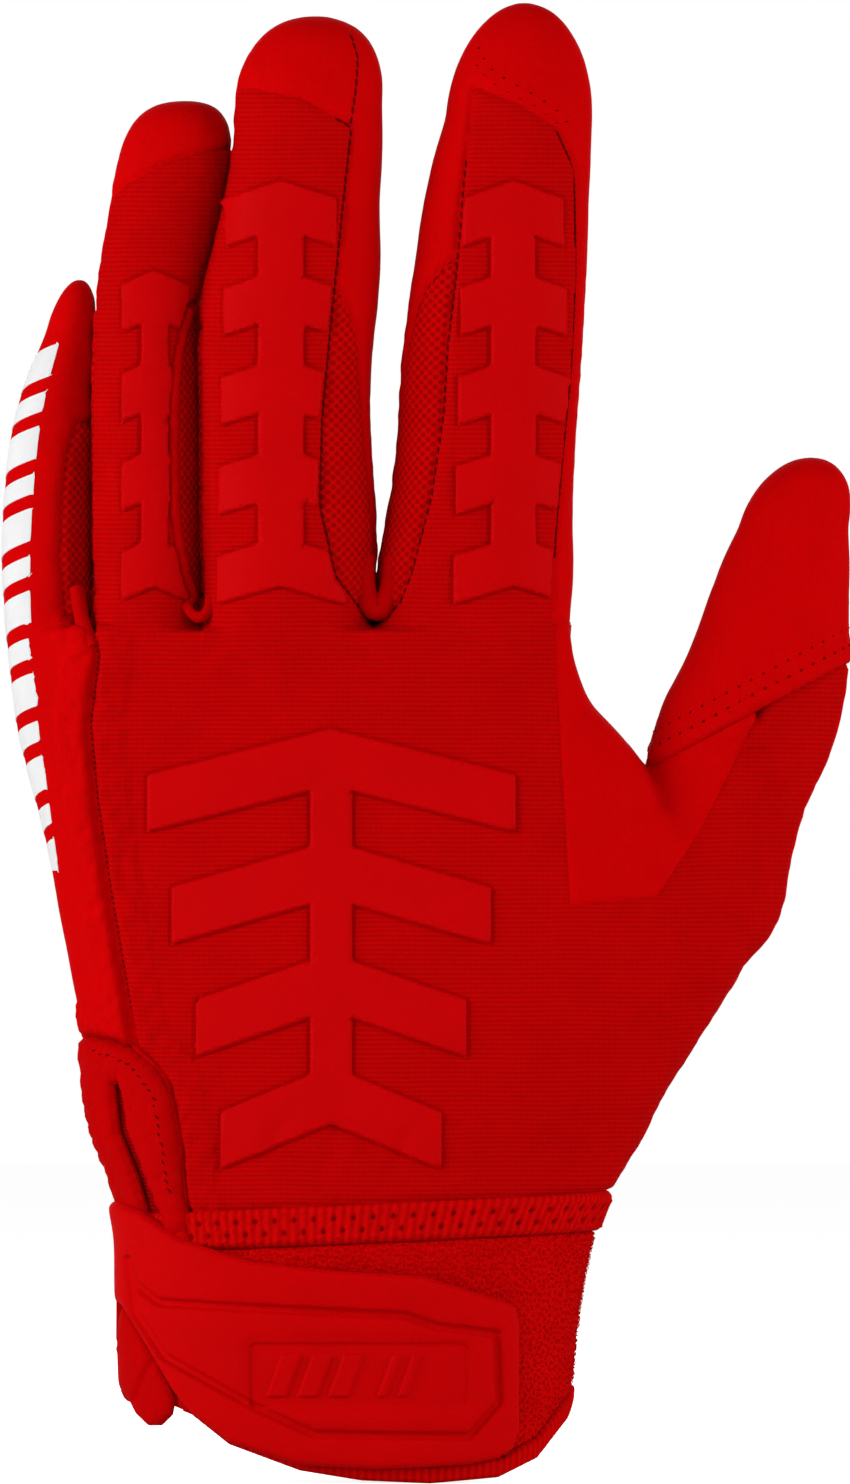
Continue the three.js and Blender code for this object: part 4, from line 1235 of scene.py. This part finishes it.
def strapHeights(p):
    s = strapShape
    rim, frame, window = (outlineSide(s[key], p) for key in ("outline", "frame", "window"))
    raised = -s["edgeDrop"] * (1 - roundedEdge(rim, s["edge"]))
    between = np.clip(np.minimum(rim, -frame) / s["crownWidth"], 0, 1)
    raised += s["crown"] * np.sin(np.pi * between / 2) * (frame < 0)
    raised -= s["grooveDepth"] * (1 - smoothStep((np.abs(frame) - s["grooveWidth"]) / s["grooveSoft"]))
    soft = s["crownSoft"]
    raised += s["crown"] * smoothStep(frame / soft) * (1 - smoothStep((window + soft) / soft)) * (frame > 0)
    raised -= s["windowDepth"] * smoothStep((window + s["windowSoft"] / 2) / s["windowSoft"])
    for bar in strapMotif:
        raised += s["motifHeight"] * smoothStep(outlineSide(bar, p) / s["motifSoft"])
    return raised + s["uneven"] * noiseAt(p, s["unevenSize"], s["unevenSeed"])


strapSides = [(seenFrom(strapShape["outline"]), 0.08), (lambda p: strapShape["foldY"] - p[:, 1], 0.08)]
strapSides += [(lambda p, way=way: outlineSide(strapShape["frame"], p) + way * strapShape["frameLine"], 0.05)
               for way in (-1, 1)]
strapSides += [(seenFrom(outline), 0.05) for outline in [strapShape["window"], *strapMotif]]
patch = cutPatch(raisedPatch(wristPatch(-184, -18, -1, 47, 0.3), strapShape["top"]), strapSides, 2)
cuffPiece("closureStrap", patch, "moulded", strapHeights(patch[0]), strapShape["under"] - strapShape["top"],
          "moulded_strap", "strap")

rootShape = {"top": 3.0, "under": 1.0, "edge": 1.0, "low": 20.2, "high": 44.6, "edgeX": -30.2, "foldY": 0.43,
             "rearY": 15.0, "edgeDrop": 1.0, "stitchFrom": 2.0, "stitchWidth": 0.35, "stitchDepth": 0.35}
rootSides = [(lambda p: np.minimum(p[:, 2] - rootShape["low"], rootShape["high"] - p[:, 2]), 0.08),
             (lambda p: np.minimum(rootShape["edgeX"] - p[:, 0], rootShape["rearY"] - p[:, 1]), 0.08),
             (lambda p: p[:, 1] - rootShape["foldY"], 0.08)]
patch = cutPatch(wristPatch(120, 184, 16, 47, 0.35), rootSides)
d = np.minimum(rootSides[0][0](patch[0]), rootSides[1][0](patch[0]))
raised = rootShape["top"] - rootShape["edgeDrop"] * (1 - roundedEdge(d, rootShape["edge"]))
raised -= rootShape["stitchDepth"] * np.exp(-((d - rootShape["stitchFrom"]) / rootShape["stitchWidth"]) ** 2)
cuffPiece("strapRoot", patch, "smooth", raised, rootShape["under"], "smooth_synthetic")

foldShape = {
    "outline": [(-44, 31.6), (-38, 29), (-35, 24.2), (-32, 19.4), (-29.6, 15.4), (-28.9, 13.2), (-29.3, 11),
                (-31.2, 9.2), (-33.2, 9.1), (-35.2, 10.9), (-36.8, 13.8), (-44, 15.8)],
    "crease": ((-32.3, 19.4), (-34.9, 13.4)), "creaseWidth": 0.6, "creaseDepth": 0.7, "top": 2.5, "under": 1.3,
    "round": 2.6, "rise": 0.35}
patch = cutPatch(raisedPatch(wristPatch(-184, -120, 6, 33, 0.3), foldShape["top"]),
                 [(seenFrom(foldShape["outline"]), 0.08), (lambda p: -p[:, 1], 0.08)])
d, off = outlineSide(foldShape["outline"], patch[0]), offLine(patch[0], *foldShape["crease"])
raised = (foldShape["top"] - foldShape["under"]) * (roundedEdge(d, foldShape["round"]) - 1) + foldShape["rise"]
raised -= foldShape["creaseDepth"] * np.exp(-(off / foldShape["creaseWidth"]) ** 2)
cuffPiece("strapRootFold", patch, "padding", raised, foldShape["under"] - foldShape["top"], "smooth_synthetic")

hookOutline = [(4.5, 28.6), (25.4, 27), (25.4, 4.6), (4.5, 4.2)]
hookPatch = cutPatch(wristPatch(-100, -18, 0, 32, 0.5), [(seenFrom(hookOutline), 0.1)])
cuffPiece("strapHookPatch", hookPatch, "hook", 1.25, 0.9, "hook_tape", "strap")

gussetShape = {"lap": 3.6, "top": -1.1, "under": -1.9, "rimGap": 0.3}
patch = cutPatch(wristPatch(-184, -110, 8, 74, 0.6), [
    (lambda p: outlineSide(handOutlines["slit"], p) + gussetShape["lap"], 0.1), (lambda p: -p[:, 1], 0.1),
    (lambda p: rimSide(p) - gussetShape["rimGap"], 0.1)])
cuffPiece("ventGusset", patch, "gusset", gussetShape["top"], gussetShape["under"], "rib_knit")
print("cuff pieces made")


def startTree(name, *numbers, **others):
    # the inputs are numbers, apart from those given with their kind
    tree = bpy.data.node_groups.new(name, "GeometryNodeTree")
    inputs = {"Geometry": "Geometry", **dict.fromkeys(numbers, "Float"), **others, "Material": "Material"}
    for label, kind in inputs.items():
        tree.interface.new_socket(name=label, in_out="INPUT", socket_type="NodeSocket" + kind)
    tree.interface.new_socket(name="Geometry", in_out="OUTPUT", socket_type="NodeSocketGeometry")
    return tree, addNode(tree, "NodeGroupInput").outputs


def endTree(tree, geometry, material):
    real = addNode(tree, "GeometryNodeRealizeInstances", Geometry=geometry)
    smooth = addNode(tree, "GeometryNodeSetShadeSmooth", Geometry=real)
    done = addNode(tree, "GeometryNodeSetMaterial", Geometry=smooth, Material=material)
    addNode(tree, "NodeGroupOutput", Geometry=done)
    return tree


def makeStitchTree():
    # threads lying one after another on a seam, each turned a little across it
    tree, given = startTree("stitchRow", "Spacing", "Length", "Thickness", "Lean")
    path = addNode(tree, "GeometryNodeMeshToCurve", Mesh=given["Geometry"])
    even = addNode(tree, "GeometryNodeResampleCurve", {"mode": "LENGTH"}, Curve=path, Length=given["Spacing"])
    up = addNode(tree, "GeometryNodeInputNamedAttribute", {"data_type": "FLOAT_VECTOR"}, Name="up")
    along = addNode(tree, "FunctionNodeAlignRotationToVector", {"axis": "X"},
                    Vector=addNode(tree, "GeometryNodeInputTangent"))
    stood = addNode(tree, "FunctionNodeAlignRotationToVector", {"axis": "Z", "pivot_axis": "X"}, Rotation=along,
                    Vector=up)
    thread = addNode(tree, "GeometryNodeMeshUVSphere", Segments=8, Rings=6, Radius=0.5)
    size = addNode(tree, "ShaderNodeCombineXYZ", X=given["Length"], Y=given["Thickness"], Z=given["Thickness"])
    laid = addNode(tree, "GeometryNodeInstanceOnPoints", Points=even, Instance=thread, Rotation=stood,
                   Scale=size)
    lean = addNode(tree, "ShaderNodeCombineXYZ", Z=given["Lean"])
    turned = addNode(tree, "GeometryNodeRotateInstances", Instances=laid, Rotation=lean)
    return endTree(tree, turned, given["Material"])


def makePipingTree():
    # a rolled edge: a tube along the seam, unevenly drawn in by its thread
    tree, given = startTree("rolledEdge", "Radius", "Step", "Pucker", "Pucker Size", "Seed")
    path = addNode(tree, "GeometryNodeMeshToCurve", Mesh=given["Geometry"])
    even = addNode(tree, "GeometryNodeResampleCurve", {"mode": "LENGTH"}, Curve=path, Length=given["Step"])
    ring = addNode(tree, "GeometryNodeCurvePrimitiveCircle", Resolution=12, Radius=given["Radius"])
    tube = addNode(tree, "GeometryNodeCurveToMesh", Curve=even, Profile_Curve=ring, Fill_Caps=True)
    at = addNode(tree, "GeometryNodeInputPosition")
    place = addNode(tree, "ShaderNodeVectorMath", {"operation": "DIVIDE"}, _0=at, _1=given["Pucker Size"])
    uneven = addNode(tree, "ShaderNodeTexNoise", {"noise_dimensions": "4D"}, Vector=place, W=given["Seed"],
                     Scale=1.0,
                     Detail=1.0)
    swing = addNode(tree, "ShaderNodeMath", {"operation": "SUBTRACT"}, _0=uneven, _1=0.5)
    amount = addNode(tree, "ShaderNodeMath", {"operation": "MULTIPLY"}, _0=swing, _1=given["Pucker"])
    facing = addNode(tree, "GeometryNodeInputNormal")
    push = addNode(tree, "ShaderNodeVectorMath", {"operation": "SCALE"}, _0=facing, Scale=amount)
    moved = addNode(tree, "GeometryNodeSetPosition", Geometry=tube, Offset=push)
    return endTree(tree, moved, given["Material"])


def makeTuftTree():
    # small loops standing on a face, scattered evenly and turned at random
    tree, given = startTree("loopTufts", "Spacing", "Radius", "Thickness", "Sweep", Seed="Int")
    spread = addNode(tree, "GeometryNodeDistributePointsOnFaces", {"distribute_method": "POISSON"},
                     Mesh=given["Geometry"], Distance_Min=given["Spacing"], Density_Max=4e6, Seed=given["Seed"])
    arc = addNode(tree, "GeometryNodeCurveArc", Resolution=6, Radius=given["Radius"], Start_Angle=0.0,
                  Sweep_Angle=given["Sweep"])
    ring = addNode(tree, "GeometryNodeCurvePrimitiveCircle", Resolution=3, Radius=given["Thickness"])
    loop = addNode(tree, "GeometryNodeCurveToMesh", Curve=arc, Profile_Curve=ring, Fill_Caps=True)
    stood = addNode(tree, "GeometryNodeTransform", Geometry=loop, Rotation=(math.pi / 2, 0, 0))
    laid = addNode(tree, "GeometryNodeInstanceOnPoints", Points=spread, Instance=stood,
                   Rotation=spread.outputs["Rotation"])
    chance = addNode(tree, "FunctionNodeRandomValue", {"data_type": "FLOAT"}, _2=0.0, _3=2 * math.pi,
                     Seed=given["Seed"])
    spin = addNode(tree, "ShaderNodeCombineXYZ", Z=chance.outputs[1])
    turned = addNode(tree, "GeometryNodeRotateInstances", Instances=laid, Rotation=spin)
    return endTree(tree, turned, given["Material"])


stitchTree, pipingTree, tuftTree = makeStitchTree(), makePipingTree(), makeTuftTree()


def grow(name, tree, emitter, finish, lengths, **others):
    # runs a node tree on an emitter and keeps the result as a plain mesh; the lengths are in millimetres
    modifier = emitter.modifiers.new("grow", "NODES")
    modifier.node_group = tree
    values = {**{key: value * mm for key, value in lengths.items()}, **others, "Material": finishes[finish]}
    for socket in tree.interface.items_tree:
        if socket.in_out == "INPUT" and socket.name in values:
            modifier[socket.identifier] = values[socket.name]
    mesh = grownMesh(emitter)
    mesh.name = name
    for extra in [a.name for a in mesh.attributes if a.name in ("up", "place")]:
        mesh.attributes.remove(mesh.attributes[extra])
    spots = np.empty(len(mesh.vertices) * 3, np.float32)
    mesh.vertices.foreach_get("co", spots)
    setAttribute(mesh, "place", spots.reshape(-1, 3))
    return newObject(name, mesh)


def pathMesh(points, ups):
    mesh = newMesh("path", points, [], [(i, i + 1) for i in range(len(points) - 1)])
    setAttribute(mesh, "up", ups)
    return newObject("path", mesh)


def softened(line, times):
    line = line.copy()
    for _ in range(times):
        line[1:-1] = (line[:-2] + 2 * line[1:-1] + line[2:]) / 4
    return line


def farthest(links, start):
    # the way to the point that lies the most edges away
    before, queue = {start: None}, [start]
    for i in queue:
        for j in links[i]:
            if j not in before:
                before[j] = i
                queue.append(j)
    line = [queue[-1]]
    while before[line[-1]] is not None:
        line.append(before[line[-1]])
    return line, set(queue)


def seamPath(pairs, keep, offset=0.0, soften=12):
    # the edges between two panels, chained into one line on the skin, from the top down
    wanted, links = [set(pair) for pair in pairs], {}
    for a, b, u, v in seamList:
        if {u, v} in wanted and keep(rest[a]) and keep(rest[b]):
            links.setdefault(a, []).append(b)
            links.setdefault(b, []).append(a)
    longest, seen = [], set()
    for start in links:
        if start not in seen:
            line, reached = farthest(links, farthest(links, start)[0][0])
            seen |= reached
            longest = max(longest, line, key=len)
    if points[longest[0], 2] < points[longest[-1], 2]:
        longest = longest[::-1]
    ups = unit(softened(normals[longest], 20))
    return softened(points[longest], soften) + ups * offset, ups


def stepped(corners, spacing=0.4):
    # places at even steps along a line through given corners
    corners = np.array(corners, float)
    along = np.concatenate([[0], np.cumsum(np.linalg.norm(np.diff(corners, axis=0), axis=1))])
    at = np.arange(0, along[-1], spacing)
    return np.stack([np.interp(at, along, values) for values in corners.T], 1)


def drawn(corners, soften=10):
    line = softened(stepped(corners), soften)
    return line, np.tile([0.0, -1.0, 0.0], (len(line), 1))


def extended(path, tail):
    more, moreUps = drawn([path[0][-1], *tail], 2)
    return softened(np.concatenate([path[0], more[1:]]), 6), np.concatenate([path[1], moreUps[1:]])


def laidOn(rays, offset):
    # a line through the places where rays meet the skin, at a height above it
    hits = [skinTree.ray_cast(Vector(start), Vector(way)) for start, way in rays]
    spots, ups = (np.array([hit[k] for hit in hits if hit[0]]) for k in (0, 1))
    ups = unit(softened(ups, 6))
    return softened(spots, 3) + ups * offset, ups


def dropped(outline, offset=0.0):
    # a line drawn as seen from the front, dropped onto the skin
    return laidOn([((x, -60, z), (0, 1, 0)) for x, z in stepped(outline)], offset)


thumbMiddle, rowStep = 5, 2.5


def hemRow(distance, offset=0.0):
    # a row round the thumb at a distance above its hem, found every few degrees
    (ax, az), (bx, bz) = seamPlaces["hemLow"], seamPlaces["hemHigh"]
    length = math.hypot(bx - ax, bz - az)
    across = np.array([(bx - ax) / length, 0, (bz - az) / length])
    rise = np.array([-across[2], 0, across[0]])
    middle = np.array([(ax + bx) / 2, thumbMiddle, (az + bz) / 2]) + rise * distance
    return laidOn([(middle, across * math.sin(turn) + np.array([0, -1, 0]) * math.cos(turn))
                   for turn in np.radians(np.arange(-175, 175, rowStep))], offset)


stitchSets = {
    # row: its line, then spacing, length and thickness of the stitches in millimetres, lean, thread and body
    "middleSeamStitches": (lambda: seamPath([("middleKnit", "middleWrap"), ("middleKnit", "middleMesh")],
                                            lambda q: q[0] > -8 and q[2] < 221, 0.16),
                           1.5, 1.5, 0.46, 0.14, "darkThread", "middle_finger"),
    "middleCapStitches": (lambda: dropped([(0.3, 234.2), (1.3, 231), (1.0, 226), (0.2, 220.6)], 0.02),
                          1.5, 1.5, 0.42, 0.1, "darkThread", "middle_finger"),
    "indexSeamStitches": (lambda: seamPath([("indexKnit", "indexWrap"), ("indexKnit", "indexMesh")],
                                           lambda q: q[0] < 20.5 and q[2] < 214, 0.12),
                          1.65, 1.35, 0.42, 0.2, "darkThread", "index_finger"),
    "indexMeshStitches": (lambda: seamPath([("indexMesh", "indexWrap")], lambda q: q[2] < 206, 0.05),
                          1.7, 1.3, 0.34, 0.15, "darkThread", "index_finger"),
    "indexEdgeStitches": (lambda: seamPath([("indexKnit", "indexWrap")],
                                           lambda q: q[0] > 30.5 and 150 < q[2] < 219, 0.2),
                          1.1, 1.2, 0.38, 0.04, "darkThread", "index_finger"),
    "ventStitches": (lambda: dropped([(-40.6, 69.4), (-38.4, 69.1), (-35.9, 67.8), (-33.5, 65.6), (-31.5, 62.8),
                                      (-29.8, 54.4), (-28.9, 47.2)], 1.22),
                     1.5, 1.1, 0.36, 0.5, "darkThread", "hand"),
    "sideSeamStitches": (lambda: seamPath([("backKnit", "palmGrip")], lambda q: q[0] < -36 and 72 < q[2] < 136,
                                          0.12),
                         0.95, 0.9, 0.42, 1.25, "darkThread", "hand"),
    "thumbPalmStitches": (lambda: seamPath([("thumbPalm", "palmGrip")], lambda q: q[2] < 136, 0.08),
                          2.2, 1.6, 0.4, 0.1, "thread", "hand"),
    # rows of needle holes, where the thread lies inside
    "indexCapHoles": (lambda: dropped([(20.9, 232.6), (22.4, 229.4), (26, 227), (30, 224.9), (33.4, 222.6),
                                       (35.4, 220.4)]),
                      2.3, 0.55, 0.34, 0.7, "hole", "index_finger"),
    "indexCapStitches": (lambda: dropped([(20.6, 229.8), (22.6, 227.2), (26.2, 225), (30.4, 222.9),
                                          (34, 220.2)], -0.04),
                         2.3, 0.7, 0.22, 0.5, "hole", "index_finger"),
    "hemHolesLow": (lambda: hemRow(2.5, 0.42), 2.25, 0.66, 0.42, 0.5, "hole", "thumb"),
    "hemHolesHigh": (lambda: hemRow(4.9, -0.02), 2.25, 0.56, 0.36, 0.5, "hole", "thumb"),
}
pipingSets = {
    # rolled edge: its line, then radius and pucker in millimetres, seed and body
    "ringPiping": (lambda: extended(seamPath([("ringKnit", "ringMesh")], lambda q: q[2] > 143, 0.6, 20),
                                    [(-26.6, -4.6, 142), (-25.4, -5.6, 140.2), (-24, -5.8, 139.8),
                                     (-22.8, -5.4, 141.2), (-22.5, -4.9, 143.4)]),
                   0.9, 0.7, 2.0, "ring_finger"),
    "crotchRoll": (lambda: drawn([(2.2, -4.2, 150), (2.2, -5.2, 146), (2.9, -6.0, 142.6), (4.4, -6.3, 140.8),
                                  (6.0, -6.0, 142.6), (7.0, -5.2, 146), (7.3, -4.2, 150)]),
                   1.9, 0.5, 11.0, "hand"),
    "pinkyCrotchRoll": (lambda: drawn([(-44.4, 0.2, 145), (-43.8, -1.2, 141), (-42.9, -2.9, 137.8),
                                       (-41.6, -4.4, 135.2)]),
                        1.25, 0.4, 3.0, "hand"),
    "ventPiping": (lambda: seamPath([("ventBinding", "backKnit")], lambda q: q[2] > 44, 1.0, 20), 0.8, 0.3, 6.0,
                   "hand"),
}
for name, (path, spacing, length, thickness, lean, thread, body) in stitchSets.items():
    sizes = {"Spacing": spacing, "Length": length, "Thickness": thickness}
    attach(grow(name, stitchTree, pathMesh(*path()), thread, sizes, Lean=lean), body, "smooth_synthetic")
for name, (path, radius, pucker, seed, body) in pipingSets.items():
    sizes = {"Radius": radius, "Step": 0.35, "Pucker": pucker, "Pucker Size": 1.7}
    attach(grow(name, pipingTree, pathMesh(*path()), "padding", sizes, Seed=seed), body, "smooth_synthetic")


def growTufts(name, p, faces, finish, sizes, sweep, seed, body, slot):
    used, index = np.unique(faces, return_inverse=True)
    emitter = newObject("emitter", newMesh("emitter", p[used], index.reshape(-1, 3).tolist()))
    attach(grow(name, tuftTree, emitter, finish, sizes, Sweep=sweep, Seed=seed), body, slot)


faces = triangles[pickOf("cuffLoop")]
faces = faces[points[faces].mean(1)[:, 1] < 2]
growTufts("loopPile", points + normals * 0.2, faces, "loop",
          {"Spacing": 0.82, "Radius": 0.26, "Thickness": 0.09},
          3.1, 4, "hand", "loop_pile")
p, n, faces = hookPatch
growTufts("hookPile", p + n * 0.9, faces[:, ::-1], "hook", {"Spacing": 0.95, "Radius": 0.3, "Thickness": 0.07},
          4.2, 7, "strap", "hook_tape")
print("stitches, rolled edges and piles grown")

studio = {
    "eye": (0.01219, -4.0, 0.1199), "frameHeight": 0.24115, "world": 0.15,
    # lamp: place in metres, power in watts, size in metres
    "lamps": {"leftLamp": ((-0.95, -0.38, 0.4), 8.6, 0.7), "rightLamp": ((0.95, -0.35, 0.35), 6.4, 0.7),
              "frontLamp": ((-0.25, -1.2, 0.65), 5.0, 0.8), "rearLamp": ((0.1, 0.95, 0.6), 4.0, 0.8)},
}
scene = bpy.context.scene
camera = bpy.data.cameras.new("camera")
camera.sensor_fit = "VERTICAL"
camera.sensor_height = 24
camera.lens = 24 * -studio["eye"][1] / studio["frameHeight"]
scene.camera = newObject("camera", camera)
scene.camera.location = studio["eye"]
scene.camera.rotation_euler = (math.radians(90), 0, 0)
for name, (place, power, size) in studio["lamps"].items():
    light = bpy.data.lights.new(name, "AREA")
    light.energy, light.size = power, size
    lamp = newObject(name, light)
    lamp.location = place
    lamp.rotation_euler = (Vector((0, 0, 0.12)) - Vector(place)).to_track_quat("-Z", "Y").to_euler()

scene.world = bpy.data.worlds.new("studio")
scene.world.use_nodes = True
tree = scene.world.node_tree
tree.nodes.clear()
rays = addNode(tree, "ShaderNodeLightPath").outputs
shown = addNode(tree, "ShaderNodeMath", {"operation": "MAXIMUM"}, _0=rays["Is Camera Ray"],
                _1=rays["Is Glossy Ray"])
shown = addNode(tree, "ShaderNodeMath", {"operation": "MAXIMUM"}, _0=shown, _1=rays["Is Transmission Ray"])
soft = addNode(tree, "ShaderNodeBackground", Color=(1, 1, 1, 1), Strength=studio["world"])
white = addNode(tree, "ShaderNodeBackground", Color=(1, 1, 1, 1), Strength=1.0)
addNode(tree, "ShaderNodeOutputWorld",
        Surface=addNode(tree, "ShaderNodeMixShader", _0=shown, _1=soft, _2=white))

# pale matt paper that the camera sees as white, with the glove's shadow kept
paper, tree, shader = newMaterial("palePaper", 0.9, 0.0, Base_Color=(0.85, 0.85, 0.85, 1),
                                  Emission_Color=(1, 1, 1, 1))
rays = addNode(tree, "ShaderNodeLightPath").outputs
seen = addNode(tree, "ShaderNodeMath", {"operation": "MULTIPLY"}, _0=rays["Is Camera Ray"], _1=0.84)
tree.links.new(seen.outputs[0], shader.inputs["Emission Strength"])
half = 3000
floorCorners = np.array([(-half, -half, 0), (half, -half, 0), (half, half, 0), (-half, half, 0)])
floor = newObject("floor", newMesh("floor", floorCorners, [(0, 1, 2, 3)]))
floor.data.materials.append(paper)

scene.view_settings.view_transform = "Standard"
